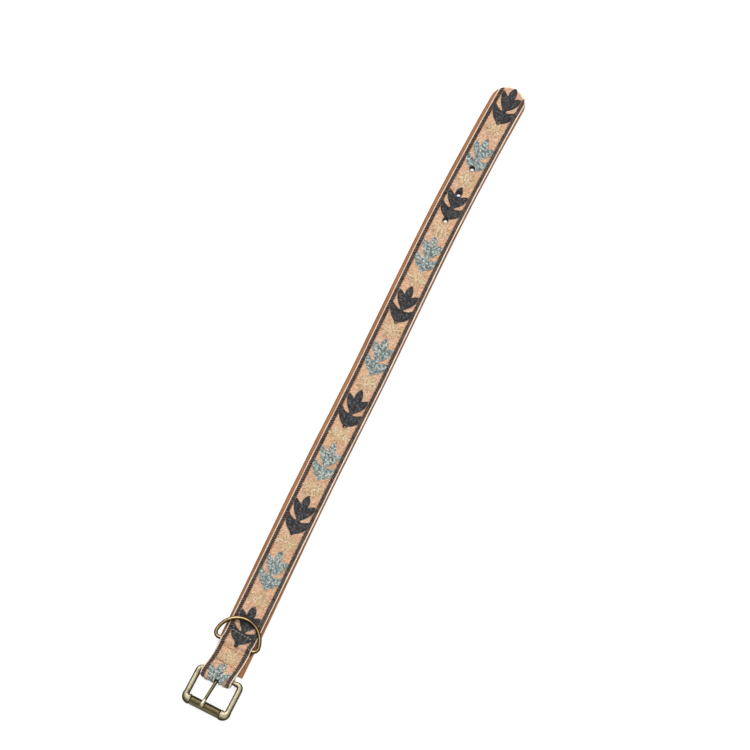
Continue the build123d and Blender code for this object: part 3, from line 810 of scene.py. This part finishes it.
# ---------------------------------------------------------------- stitched pieces
BORDER_STEP = 0.8           # from one border stitch to the next
BORDER_LEAN = 0.55          # how far each leans either way
BORDER_END = 273.9          # where the borders stop, on the fold
SEAM_STEP = 3.0
SEAM_STITCH = 2.45
SEAM_END = 270.0
CROSS_STEP = 2.5
CROSS_STITCH = 2.1
outlines = []


def on_strap(piece, node):
    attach(piece, "strap")
    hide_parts(node)


for kind, material, slot_name, tones, contrast in (
        ("dark", CHARCOAL, "charcoal_thread", 0.18, 0.12), ("blue", BLUE, "blue_thread", 0.28, 0.28)):
    for number, (tip, nib) in enumerate(FLOWERS[kind]):
        variation = np.random.default_rng(100 * number + ord(kind[0]))
        work, outline = stitch_flower(tip, (nib - tip) / FLOWER_LENGTH, variation, tones, contrast)
        outlines.append((kind, place_flower(outline, tip)))
        node = f"{kind}_flower_{number + 1}"
        on_strap(work.piece("stitched_" + node, material, slot_name), node)
for number, middle in enumerate(ROSETTES):
    work = stitch_rosette(middle, np.random.default_rng(901 + number))
    node = f"cream_rosette_{number + 1}"
    on_strap(work.piece("stitched_" + node, CREAM, "cream_thread"), node)

for side, name in ((-1, "left"), (1, "right")):
    work = Stitches()
    s = np.arange(TIP_X + 1.0, BORDER_END, BORDER_STEP)
    s = s + rng.normal(0, 0.05, len(s))
    inner = np.stack([s - BORDER_LEAN, np.full(len(s), side * (BORDER_Y - BORDER_HALF + 0.1))], 1)
    outer = np.stack([s + BORDER_LEAN, np.full(len(s), side * (BORDER_Y + BORDER_HALF - 0.1))], 1)
    inner[:, 1] += rng.normal(0, 0.09, len(s))
    outer[:, 1] += rng.normal(0, 0.07, len(s))
    ok = tip_room(inner) > 0.7
    # Near the rounded tip each border stitch ends where the cloth does
    length = np.full(len(s), 0.4)
    for share in (0.55, 0.7, 0.85, 1.0):
        length = np.where(tip_room(inner + (outer - inner) * share) > 0.7, share, length)
    outer = inner + (outer - inner) * length[:, None]
    knots = rng.random(len(s)) < 0.035
    radius = np.where(knots, 0.46, 0.37 + rng.normal(0, 0.02, len(s)))
    tone = np.clip(np.where(np.arange(len(s)) % 2 == 0, 0.05, 0.9) + rng.normal(0, 0.12, len(s)), 0, 1)
    work.runs(inner[ok], outer[ok], tone[ok], radius=radius[ok], high=0.36, low=-0.05, bow=0.1)
    on_strap(work.piece("stitched_border_" + name, BORDER, "charcoal_thread"), "border_" + name)

    work = Stitches()
    s = np.arange(TIP_X + 3.0, SEAM_END, SEAM_STEP)
    starts = np.stack([s, np.full(len(s), side * SEAM_Y)], 1) + rng.normal(0, 0.05, (len(s), 2))
    ends = starts + np.array([SEAM_STITCH, 0.0]) + rng.normal(0, 0.05, (len(s), 2))
    ok = tip_room(starts) > 1.2
    shade = rng.uniform(0.2, 0.8, len(s))
    work.runs(starts[ok], ends[ok], shade[ok], radius=0.2, high=0.25)
    on_strap(work.piece("stitched_long_seam_" + name, SEAM, "seam_thread"), "long_seam_" + name)

    work = Stitches()
    ok &= s < LEATHER_END_X - 4.0
    half_step = np.array([SEAM_STEP / 2, 0.0])
    work.runs(starts[ok] + half_step, ends[ok] + half_step, shade[ok], radius=0.22, high=0.1, flip=True)
    back = work.piece("back_seam_" + name, SEAM, "seam_thread", surface=on_back)
    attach(back, "strap")

back_rows = Stitches()
for number, seam in enumerate(CROSS_SEAMS):
    work = Stitches()
    y = np.arange(-SEAM_Y + 0.4, SEAM_Y - 1.6, CROSS_STEP)
    starts = np.stack([seam + CROSS_SLANT * y, y], 1) + rng.normal(0, 0.06, (len(y), 2))
    ends = starts + np.array([CROSS_STITCH * CROSS_SLANT, CROSS_STITCH])
    shade = rng.uniform(0.1, 0.6, len(y))
    # The first seam crosses a flower, on top of its stitches and in a paler yarn
    radius, high, material = (0.24, 0.72, SEAM_LIGHT) if number == 0 else (0.22, 0.22, SEAM)
    work.runs(starts, ends, shade, radius=radius, high=high)
    piece = work.piece(f"stitched_cross_seam_{number + 1}", material, "seam_thread")
    on_strap(piece, f"cross_seam_{number + 1}")
    back_rows.runs(starts, ends, shade, radius=0.22, high=0.1, flip=True)
back = back_rows.piece("back_cross_seams", SEAM, "seam_thread", surface=on_back)
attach(back, "strap")


# ---------------------------------------------------------------- the cloth
def cloth_rows():
    """The cloth's cross rows: round its tip, then along the strap, over the fold and back."""
    radius = CLOTH_TIP_RADIUS
    turn = np.concatenate([[0, 0.03, 0.07, 0.12, 0.18, 0.25], np.linspace(0.32, 1.18, 24)])
    straight = np.concatenate([
        np.arange(CLOTH_TIP_MIDDLE - radius * math.cos(turn[-1]) + 0.45, 233.0, 0.55),
        np.arange(233.0, SLOT_FROM - 0.2, 0.4), np.linspace(SLOT_FROM, LIPS_TO, 20),
        np.linspace(LIPS_TO, SLOT_TO, 17)[1:], np.arange(SLOT_TO + 0.5, PATH_S[-1], 0.8), [PATH_S[-1]]])

    def rows(inset):
        s = np.concatenate([CLOTH_TIP_MIDDLE - (radius - inset) * np.cos(turn), straight])
        rest = CLOTH_TIP_MIDDLE - straight
        beside_tip = np.where(rest > 0, np.sqrt(np.maximum(radius ** 2 - rest ** 2, 0)) - inset, AMPLE)
        wide = np.concatenate([(radius - inset) * np.sin(turn), beside_tip])
        middle = centre_at(s) - np.where(s < -240, leather_centre(s), 0.0)
        uneven = 0.1 * wobble(s, 0.0, 37.0)
        low = np.maximum(-wide - middle, -CLOTH_HALF + inset + uneven)
        high = np.minimum(wide - middle, CLOTH_HALF - inset + uneven)
        return s, np.minimum(low, high), np.maximum(low, high)
    return rows


# The strip's edges, and between them the two columns that the slot's edges take
COLUMN_KNOTS = (-12.5, -0.4, 3.6, 12.5)
CLOTH_COLUMNS = np.unique(np.concatenate([
    np.linspace(first, last, count)
    for first, last, count in zip(COLUMN_KNOTS, COLUMN_KNOTS[1:], (21, 8, 16))]))


def cloth_columns(s, low, high):
    """The y values of each cross row. Towards the fold two columns move onto the slot's edges."""
    share = (CLOTH_COLUMNS - CLOTH_COLUMNS[0]) / (CLOTH_COLUMNS[-1] - CLOTH_COLUMNS[0])
    plain = low[:, None] + (high - low)[:, None] * share[None, :]
    middle = centre_at(s)
    slotted = np.stack([
        np.interp(CLOTH_COLUMNS, COLUMN_KNOTS, [a, -SLOT_HALF - c, SLOT_HALF - c, b])
        for a, b, c in zip(low, high, middle)])
    blend = smooth(150, 225, s)[:, None]
    return plain * (1 - blend) + slotted * blend


def cloth_openings(grid):
    s, y = cell_middles(grid)
    slot = (s > SLOT_FROM) & (s < SLOT_TO) & (np.abs(y + centre_at(s)) < SLOT_HALF)
    return (hole_distance(s, y, centre_at) < HOLE_RADIUS) | slot


def cover(points, wanted, low, high):
    """How far points on the strip are under the stitching of one kind, 0 to 1."""
    found = np.zeros(len(points))
    for kind, outline in outlines:
        if kind != wanted:
            continue
        near = (points[:, 0] > outline[:, 0].min() - 1) & (points[:, 0] < outline[:, 0].max() + 1)
        distance = signed_distance(points[near], outline)
        found[near] = np.maximum(found[near], 1 - smooth(low, high, distance))
    return found


def cloth_coats(points, outer):
    """What the cloth's shader needs to know: what is stitched where."""
    flat = points[:, :2]
    s, y = flat.T
    away = np.abs(y)
    rose = np.zeros(len(points))
    for middle in ROSETTES:
        far = np.hypot((s - middle) / ROSETTE_HALF[0], (y - ROSETTE_Y) / ROSETTE_HALF[1])
        rose = np.maximum(rose, 1 - smooth(0.55, 1.1, far + 0.12 * wobble(s, y, 6.0)))
    on = outer * (s < 276)
    field = on * smooth(FIELD + 0.6, FIELD + 0.2, away)
    room = np.minimum(CLOTH_HALF - away, tip_room(flat) - 0.5)
    band = 1 - smooth(BORDER_HALF - 0.25, BORDER_HALF + 0.02, np.abs(away - BORDER_Y))
    return {
        "cream": rose * on, "blue": cover(flat, "blue", -0.55, -0.15) * field,
        "charcoal": cover(flat, "dark", -0.3, 0.1) * field,
        # inside is painted shade on the walls of the punched holes
        "inside": (hole_distance(s, y, centre_at) < HOLE_RADIUS + HOLE_SHADE).astype(float),
        "hem": np.maximum(1 - smooth(0.8, 1.15, room + 0.3 * (y < 0)), 1 - outer),
        "band": band * on * (s < 274) * (tip_room(flat) > 0.6)}


SEAM_DENT, CROSS_SEAM_DENT = 0.16, 0.26
HEM_RISE = 0.16
PADDING = 0.08


def cloth_relief(points, coats):
    """How far the cloth's outer face stands off its flat place: padded field, sunk seams, thicker hem."""
    s, y = points[:, 0], points[:, 1]
    away = np.abs(y)
    relief = 0.07 * wobble(s, y, 23.0) + 0.05 * wobble(s, y, 5.0)
    relief -= SEAM_DENT * np.exp(-((away - SEAM_Y) / 0.35) ** 2)
    relief += HEM_RISE * smooth(11.8, 12.1, away)
    relief += PADDING * (coats["blue"] + coats["charcoal"])
    relief -= CROSS_SEAM_DENT * np.exp(-(seam_distance(s, y) / 0.45) ** 2) * smooth(9.4, 8.8, away)
    return relief


def cloth_piece(name, verts, faces, upper, merge=False):
    """A piece of the strip, coloured and raised by what is stitched on it."""
    outer = np.zeros(len(verts))
    outer[upper.ravel()] = 1.0
    coats = cloth_coats(verts, outer)
    raised = verts + np.outer(cloth_relief(verts, coats) * outer, (0.0, 0.0, 1.0))
    return new_piece(
        name, on_cloth(raised), faces, CLOTH, vectors={"weave": verts}, floats=coats, merge=merge)


CLOTH_RIM = [(0.35, HALF), (0.12, HALF - 0.08), (0.0, 0.1), (0.05, -0.25), (0.3, -HALF)]
verts, faces, upper, lower, edge = slab(cloth_rows(), cloth_columns, CLOTH_RIM, cloth_openings)
round_holes(verts, upper, lower, edge, centre_at)
cloth = cloth_piece("cloth_strip", verts, faces, upper, merge=True)
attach(cloth, "strap")
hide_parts("embroidered_cloth")

LIP_GAP = 0.03
LIP_RIM = [(0.15, HALF), (0.0, 0.2), (0.0, -0.2), (0.15, -HALF)]


def slot_lip(side, name, part, first, last):
    """One piece of the cloth that closes the slot over the prong, with its stitches."""
    s_values = np.linspace(first, last, 2 + int((last - first) / 0.4))

    def lip_rows(inset):
        middle = centre_at(s_values)
        low, high = sorted((side * LIP_GAP / 2, side * (SLOT_HALF - LIP_GAP)))
        return s_values, low + 0.3 * inset - middle, high - 0.3 * inset - middle

    def lip_columns(s, low, high):
        return low[:, None] + (high - low)[:, None] * np.linspace(0, 1, 6)[None, :]

    def no_openings(grid):
        return np.zeros((grid.shape[0] - 1, grid.shape[1] - 1), bool)

    verts, faces, upper, _, _ = slab(lip_rows, lip_columns, LIP_RIM, no_openings, capped_start=True)
    pieces = [cloth_piece(f"slot_lip_{name}_{part}", verts, faces, upper)]
    if lips[side, part].count:
        pieces.append(lips[side, part].piece(f"slot_stitches_{name}_{part}", BLUE, "blue_thread"))
    for piece in pieces:
        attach(piece, "strap")
        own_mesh(piece)


for side, name in ((-1, "left"), (1, "right")):
    slot_lip(side, name, "rear", SLOT_FROM + LIP_GAP, LIPS_SPLIT)
    slot_lip(side, name, "front", LIPS_SPLIT, LIPS_TO)

# ---------------------------------------------------------------- the leather
LEATHER_RIM = [
    (0.75, LEATHER_THICK), (0.3, 2.66), (0.05, 2.25), (0.0, 1.4), (0.05, 0.55), (0.3, 0.14), (0.75, 0.0)]
CREASE_Y = 13.72
CREASE_DEPTH = 0.3
LEATHER_SIDE = np.array([
    14.25, 14.0, CREASE_Y + 0.16, CREASE_Y, CREASE_Y - 0.16, 13.3, 12.9, 12.5, 12.1, 11.7, 11.3, 10.9,
    9.0, 7.0, 5.4, 4.4])
LEATHER_COLUMNS = np.concatenate([-LEATHER_SIDE, np.arange(-3.85, 4.0, 0.55), LEATHER_SIDE[::-1]])


def leather_rows():
    """The leather's cross rows: round its tip, then along the strap, close together at the holes."""
    radius = (LEATHER_HALF ** 2 + TIP_LENGTH ** 2) / (2 * TIP_LENGTH)
    last = math.asin(LEATHER_HALF / radius)
    turn = np.concatenate([[0, 0.03, 0.07, 0.12, 0.18], np.linspace(0.25, last, 22)])
    straight = np.concatenate([
        np.arange(TIP_X + TIP_LENGTH + 2, -198, 3.0), np.arange(-198, -138, 0.55),
        np.arange(-137, 232, 4.0), np.arange(233, 242, 0.75), np.arange(244, 258, 4.0),
        [LEATHER_END_X - 0.6, LEATHER_END_X - 0.2, LEATHER_END_X]])

    def rows(inset):
        s = np.concatenate([TIP_X + radius - (radius - inset) * np.cos(turn), straight])
        wide = np.concatenate([(radius - inset) * np.sin(turn), np.full(len(straight), LEATHER_HALF - inset)])
        wide = wide + 0.05 * wobble(s, 0.0, 61.0) * (wide > 12)
        cut = smooth(TRIM_X - 2.5, TRIM_X, s)
        return s, -wide * (1 - cut) + cut * (TRIM_Y + inset - leather_centre(s)), wide
    return rows


def leather_columns(s, low, high):
    share = (LEATHER_COLUMNS - LEATHER_COLUMNS[0]) / (LEATHER_COLUMNS[-1] - LEATHER_COLUMNS[0])
    return low[:, None] + (high - low)[:, None] * share[None, :]


def leather_openings(grid):
    return hole_distance(*cell_middles(grid), leather_centre) < HOLE_RADIUS


verts, faces, upper, lower, edge = slab(leather_rows(), leather_columns, LEATHER_RIM, leather_openings)
round_holes(verts, upper, lower, edge, leather_centre, HOLE_BACK_RADIUS)
away = np.abs(verts[:, 1])
straight = smooth(TIP_X + 12, TIP_X + 26, verts[:, 0])
face_up = np.zeros(len(verts))
face_up[upper.ravel()] = 1.0
flesh = np.zeros(len(verts))
flesh[lower.ravel()] = 1.0
crease = np.exp(-((away - CREASE_Y) / 0.14) ** 2) * face_up * straight
rim = np.clip(1 - face_up - flesh, 0, 1)
skin = verts.copy()
verts[:, 2] -= CREASE_DEPTH * crease
verts[:, 2] += 0.05 * wobble(verts[:, 0], verts[:, 1], 17.0) * face_up * (away < 13.4)
near_end = verts[:, 0] > LEATHER_END_X - 0.05
verts[near_end, 2] += (LEATHER_THICK / 2 - verts[near_end, 2]) * 0.22
beside = np.abs(skin[:, 1] + leather_centre(skin[:, 0]) - strip_centre(skin[:, 0])) - CLOTH_HALF
# A painted shadow on the leather beside the cloth strip's edges
cloth_edge_shadow = np.exp(-((beside - 0.15) / 0.4) ** 2) * face_up * straight
# Painted shade on the walls of the punched holes
inside = (hole_distance(skin[:, 0], skin[:, 1], leather_centre) < HOLE_RADIUS + HOLE_SHADE).astype(float)
leather = new_piece(
    "leather_strap", on_leather(verts), faces, LEATHER, vectors={"skin": skin},
    floats={"crease": crease, "rim": rim, "flesh": flesh, "inside": inside, "cloth_edge_shadow": cloth_edge_shadow}, merge=True)
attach(leather, "strap")
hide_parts("leather_backing")

# ---------------------------------------------------------------- the metal
BUCKLE_Z, BUCKLE_Y = 4.0, 1.3
BUCKLE_SKEW = math.radians(2.2)
BAR_X, BAR_RADIUS = 265.9, 1.6
ROLLER_X, ROLLER_RADIUS, ROLLER_HALF = 291.4, 3.65, 12.25
AXLE_RADIUS = 2.15
ROLLER_CLEARANCE = 0.06
RING_X, RING_Z, RING_Y, RING_WIRE, RING_LIFT = 238.9, 4.4, -0.2, 1.5, math.radians(7)


def plan_line(points, radii, step=0.45):
    """A line in plan with rounded corners, as evenly spaced points."""
    line = line_with_bends(points, radii)
    gaps = np.r_[0, np.cumsum(np.linalg.norm(np.diff(line, axis=0), axis=1))]
    at = np.linspace(0, gaps[-1], int(gaps[-1] / step))
    return np.stack([np.interp(at, gaps, line[:, i]) for i in (0, 1)], 1), at


ROD_SIDES = 24


def sweep(centres, wide, high, around=ROD_SIDES, power=2.0, closed=False, up=(0.0, 0.0, 1.0)):
    """A rod along centres. wide and high are its half sizes, and power above 2 squares it off.
    Returns its corners, faces and how much each corner faces up, which the brass shader turns into painted
    light and shade."""
    if closed:
        run = np.roll(centres, -1, axis=0) - np.roll(centres, 1, axis=0)
    else:
        run = np.gradient(centres, axis=0)
    run /= np.linalg.norm(run, axis=1, keepdims=True)
    side = np.cross(run, np.array(up))
    side /= np.linalg.norm(side, axis=1, keepdims=True)
    over = np.cross(side, run)
    angle = np.arange(around) * 2 * math.pi / around
    c = np.sign(np.cos(angle)) * np.abs(np.cos(angle)) ** (2 / power)
    d = np.sign(np.sin(angle)) * np.abs(np.sin(angle)) ** (2 / power)
    wide, high = np.broadcast_to(wide, (len(centres),)), np.broadcast_to(high, (len(centres),))
    ring = wide[:, None, None] * c[None, :, None] * side[:, None]
    ring = ring + high[:, None, None] * d[None, :, None] * over[:, None]
    verts = (centres[:, None] + ring).reshape(-1, 3)
    facing = np.cos(angle)[None, :, None] * side[:, None] + np.sin(angle)[None, :, None] * over[:, None]
    index = np.arange(len(verts)).reshape(len(centres), around)
    ahead = np.roll(index, -1, axis=0) if closed else index[1:]
    here = index if closed else index[:-1]
    quads = [here, ahead, np.roll(ahead, -1, axis=1), np.roll(here, -1, axis=1)]
    faces = np.stack(quads, -1).reshape(-1, 4).tolist()
    if not closed:
        faces += [index[0].tolist(), index[-1, ::-1].tolist()]
    return verts, faces, facing[..., 2].reshape(-1)


def turned_on_strap(points):
    """The buckle sits turned a little on the strap."""
    c, s = math.cos(BUCKLE_SKEW), math.sin(BUCKLE_SKEW)
    x, y, z = (points - np.array([BAR_X, BUCKLE_Y, 0.0])).T
    return np.column_stack([BAR_X + x * c + y * s, BUCKLE_Y - x * s + y * c, z])


def metal_piece(name, parts, material, body, node):
    """Joins swept parts into one piece that stands for a CAD node."""
    verts, faces, painted_light_and_wear, count = [], [], [], 0
    for part_verts, part_faces, part_light_and_wear in parts:
        verts.append(part_verts if body == "d_ring" else turned_on_strap(part_verts))
        faces += [[i + count for i in face] for face in part_faces]
        painted_light_and_wear.append(part_light_and_wear)
        count += len(part_verts)
    piece = new_piece(name, np.concatenate(verts) * MM, faces, material,
                      floats={"painted_light_and_wear": np.clip(np.concatenate(painted_light_and_wear), -1, 1)})
    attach(piece, body)
    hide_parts(node)
    return piece


def shoulder(at, total, start, full, ends):
    """The frame is thin along the heel bar, thicker along its arms and heaviest beside the roller."""
    away = np.minimum(at, total - at)
    return ends + (full - ends) * smooth(2.0, 8.5, away) + (start - full) * smooth(28.5, 36.0, away)


front_x, heel_x, arm_front, arm_heel = 291.45, 265.3, 17.35, 17.2
cap = ROLLER_HALF + 0.2     # the frame's open ends stand this far out, beside the roller
line, at = plan_line([
    (front_x, -cap), (front_x, -arm_front), (heel_x, -arm_heel - 0.6), (BAR_X, -13.2), (BAR_X, 13.2),
    (heel_x, arm_heel - 0.2), (front_x, arm_front + 0.1), (front_x, cap)], [3.6, 3.0, 4.0, 4.0, 3.0, 3.6])
wide = shoulder(at, at[-1], BAR_RADIUS, 2.3, 4.0)
high = shoulder(at, at[-1], BAR_RADIUS, 2.2, 2.5)
END_ROUNDING = 0.86
for end in (0, -1):
    wide[end] *= END_ROUNDING
    high[end] *= END_ROUNDING
line = np.column_stack([line[:, 0], line[:, 1] + BUCKLE_Y, np.full(len(line), BUCKLE_Z)])
body = sweep(line, wide, high, around=28, power=2.5)
axle_y = np.linspace(-cap - 1.5, cap + 1.5, 9) + BUCKLE_Y
axle_line = np.column_stack([np.full(9, ROLLER_X), axle_y, np.full(9, BUCKLE_Z)])
axle = sweep(axle_line, AXLE_RADIUS, AXLE_RADIUS)
metal_piece("cast_buckle_frame", [body, axle], BRASS, "buckle", "buckle_frame")

ROLLER_SEAM = 0.05          # half the angle that the rolled tube stays open
turn = np.linspace(-math.pi / 2 + ROLLER_SEAM, 3 * math.pi / 2 - ROLLER_SEAM, 72)
rim = np.array([0, 0.1, 0.4])
length = np.concatenate([rim, np.linspace(0.8, 2 * ROLLER_HALF - 0.8, 30), 2 * ROLLER_HALF - rim[::-1]])
outside = ROLLER_RADIUS - np.interp(np.minimum(length, 2 * ROLLER_HALF - length), rim, [0.4, 0.2, 0.0])
outside = outside + 0.02 * wobble(length, 0.0, 9.0)
inside = np.full(len(length), AXLE_RADIUS + ROLLER_CLEARANCE)


def shell(radius):
    """One face of the rolled tube, which stays a little open along its seam."""
    x = ROLLER_X + radius[:, None] * np.cos(turn)
    z = BUCKLE_Z + radius[:, None] * np.sin(turn)
    y = np.broadcast_to((length - ROLLER_HALF + BUCKLE_Y)[:, None], x.shape)
    return np.stack([x, y, z], -1)


grids = [shell(outside), shell(inside)]
many = len(length) * len(turn)
outer_index = np.arange(many).reshape(len(length), len(turn))
inner_index = outer_index + many
roller_faces = []
for grid, order in ((outer_index, 1), (inner_index, -1)):
    quads = [grid[:-1, :-1], grid[:-1, 1:], grid[1:, 1:], grid[1:, :-1]][::-order]
    roller_faces += np.stack(quads, -1).reshape(-1, 4).tolist()
for inner_edge, outer_edge, order in (
        (inner_index[0], outer_index[0], 1), (inner_index[-1], outer_index[-1], -1),
        (inner_index[:, 0], outer_index[:, 0], -1), (inner_index[:, -1], outer_index[:, -1], 1)):
    quads = [outer_edge[:-1], inner_edge[:-1], inner_edge[1:], outer_edge[1:]][::-order]
    roller_faces += np.stack(quads, -1).tolist()
# Painted light on the roller's outer face: a narrow painted highlight along its upper front, painted shade on
# its back and underside; its inner face takes the darkest colour
roller_light_and_shade = 0.55 + 0.4 * np.exp(-((turn - 0.85) / 0.22) ** 2)
roller_light_and_shade = roller_light_and_shade - 0.5 * smooth(1.9, 2.6, turn) - 0.5 * smooth(0.5, 0.0, turn)
roller_light_and_shade = np.broadcast_to(roller_light_and_shade, (len(length), len(turn)))
painted_light_and_wear = np.concatenate([roller_light_and_shade.ravel(), np.full(many, -1.0)])
roller = (np.concatenate(grids).reshape(-1, 3), roller_faces, painted_light_and_wear)
metal_piece("rolled_roller", [roller], ROLLER_BRASS, "roller", "roller")

# The prong: from an eye round the heel bar it rises to rest on the roller. over is the way along it
# to the place above the roller's axis.
PRONG_SKEW = math.radians(2.1)
PRONG_Y = 0.1
PRONG_HALF, PRONG_REST_GAP, EYE_RADIUS = 1.1, 0.1, 2.2
reach = (ROLLER_X - BAR_X) / math.cos(PRONG_SKEW)
lift = math.asin((ROLLER_RADIUS + PRONG_HALF + PRONG_REST_GAP) / reach)
over = reach * math.cos(lift)


def prong_place(points):
    """From the prong's own length, width and height to the buckle at rest."""
    x, y, z = points.T
    x, z = x * math.cos(lift) - z * math.sin(lift), x * math.sin(lift) + z * math.cos(lift)
    c, d = math.cos(-PRONG_SKEW), math.sin(-PRONG_SKEW)
    return np.column_stack([BAR_X + x * c - y * d, PRONG_Y + x * d + y * c, BUCKLE_Z + z])


along = np.concatenate([np.linspace(1.9, over - 4, 26), np.linspace(over - 3.4, over + 3.2, 14)])
wide = np.interp(
    along, [1.9, 4, over - 4, over - 1.5, over + 2, over + 3.2], [1.45, 1.35, 1.3, 1.6, 1.5, 0.9])
high = np.interp(
    along, [1.9, 4, over - 4, over - 1, over + 2, over + 3.2], [1.0, PRONG_HALF, PRONG_HALF, 1.05, 0.9, 0.45])
drop = -0.3 * smooth(over, over + 3.2, along)
shank = sweep(np.column_stack([along, 0 * along, drop]), wide, high, power=2.4)
loop = np.linspace(0, 2 * math.pi, 41)[:-1]
eye_line = EYE_RADIUS * np.column_stack([np.cos(loop), 0 * loop, np.sin(loop)])
eye = sweep(eye_line, 0.5, 1.4, closed=True, up=(0.0, 1.0, 0.0))
# The prong's up-facing side is painted lighter as if lit from above, and it is made lighter again towards its
# tip
brighter_tip = np.repeat(smooth(over - 4.0, over - 1.5, along), ROD_SIDES) * 0.8
shank_light_and_wear = shank[2] * 0.8 + brighter_tip * (shank[2] > 0) - 0.05
parts = [(prong_place(shank[0]), shank[1], shank_light_and_wear), (prong_place(eye[0]), eye[1], eye[2])]
metal_piece("bent_prong", parts, BRASS, "prong", "prong")

# The D-ring: a straight bar, two round corners and one wide arch that meets them without a kink
ring_corner, ring_half, ring_depth = 3.8, 13.75, 20.2
ring_reach = ring_depth - ring_corner
arch_x = (ring_reach ** 2 - ring_corner ** 2 - ring_half ** 2) / (2 * (ring_reach - ring_corner))
meet = math.atan2(ring_half, ring_corner - arch_x)


def arc(middle_x, middle_y, radius, first, last, count):
    return [(middle_x + radius * math.cos(a), middle_y + radius * math.sin(a))
            for a in np.linspace(first, last, count)[:-1]]


ring_line = [(0.0, y) for y in np.linspace(-ring_half, ring_half, 40)[:-1]]
ring_line += arc(ring_corner, ring_half, ring_corner, math.pi, meet, 16)
ring_line += arc(arch_x, 0.0, ring_depth - arch_x, meet, -meet, 90)
ring_line += arc(ring_corner, -ring_half, ring_corner, -meet, -math.pi, 16)
ring_line = np.array(ring_line)
ring_line = np.column_stack([
    RING_X - ring_line[:, 0] * math.cos(RING_LIFT), ring_line[:, 1] + RING_Y,
    RING_Z + ring_line[:, 0] * math.sin(RING_LIFT)])
metal_piece("bent_d_ring", [sweep(ring_line, RING_WIRE, RING_WIRE, closed=True)], RING_BRASS,
            "d_ring", "d_ring")

# ---------------------------------------------------------------- studio
FLOOR_HALF = 3.0
bottom = min(v[2] for v in bounds_at_load)
floor_mesh = bpy.data.meshes.new("floor")
corners = [(-FLOOR_HALF, -FLOOR_HALF, 0), (FLOOR_HALF, -FLOOR_HALF, 0), (FLOOR_HALF, FLOOR_HALF, 0),
           (-FLOOR_HALF, FLOOR_HALF, 0)]
floor_mesh.from_pydata(corners, [], [(0, 1, 2, 3)])
floor = bpy.data.objects.new("floor", floor_mesh)
floor.location = (0, 0, bottom - 0.2 * MM)
bpy.context.scene.collection.objects.link(floor)
paper = Shader("pale_floor")
paper.put(paper.bsdf, {
    "Base Color": (0.4, 0.4, 0.4, 1), "Roughness": 0.9, "Specular IOR Level": 0.1,
    "Emission Color": (1, 1, 1, 1), "Emission Strength": 0.75})
floor_mesh.materials.append(paper.material)

world = bpy.data.worlds.new("studio")
bpy.context.scene.world = world
world.use_nodes = True
background = world.node_tree.nodes.get("Background") or world.node_tree.nodes.new("ShaderNodeBackground")
tree = world.node_tree
facing = tree.nodes.new("ShaderNodeSeparateXYZ")
tree.links.new(tree.nodes.new("ShaderNodeTexCoord").outputs[0], facing.inputs[0])
overhead = tree.nodes.new("ShaderNodeMapRange")
overhead.interpolation_type = "SMOOTHSTEP"
for socket, value in zip(overhead.inputs[1:5], (0.1, 0.75, 0.1, 0.62)):
    socket.default_value = value
tree.links.new(facing.outputs[2], overhead.inputs[0])
tree.links.new(overhead.outputs[0], background.inputs[1])
background.inputs[0].default_value = (1.0, 1.0, 1.0, 1.0)


def softbox(name, place, target, size, power):
    light = bpy.data.lights.new(name, "AREA")
    light.shape = "RECTANGLE"
    light.size, light.size_y = size
    light.energy = power
    lamp = bpy.data.objects.new(name, light)
    lamp.location = place
    lamp.rotation_euler = (Vector(target) - Vector(place)).to_track_quat("-Z", "Y").to_euler()
    bpy.context.scene.collection.objects.link(lamp)


softbox("key", (-0.9, -0.7, 1.9), (0, 0, 0), (1.6, 1.6), 31)
softbox("fill", (0.9, 1.2, 1.7), (0, 0, 0), (1.2, 1.2), 14)

CAMERA_TARGET = Vector((-0.0019, 0.0042, 0.0))
CAMERA_DISTANCE = 2.0
CAMERA_TILT = math.radians(19.3)
CAMERA_LEAN = math.radians(24.93)
camera = bpy.data.objects.new("camera", bpy.data.cameras.new("camera"))
camera.data.sensor_width = 36.0
camera.data.lens = 122.5
camera.location = CAMERA_TARGET + CAMERA_DISTANCE * Vector((
    math.sin(CAMERA_TILT) * math.cos(CAMERA_LEAN), math.sin(CAMERA_TILT) * math.sin(CAMERA_LEAN),
    math.cos(CAMERA_TILT)))
camera.rotation_euler = (CAMERA_TARGET - camera.location).to_track_quat("-Z", "Y").to_euler()
bpy.context.scene.collection.objects.link(camera)
bpy.context.scene.camera = camera
bpy.context.scene.view_settings.view_transform = "Standard"
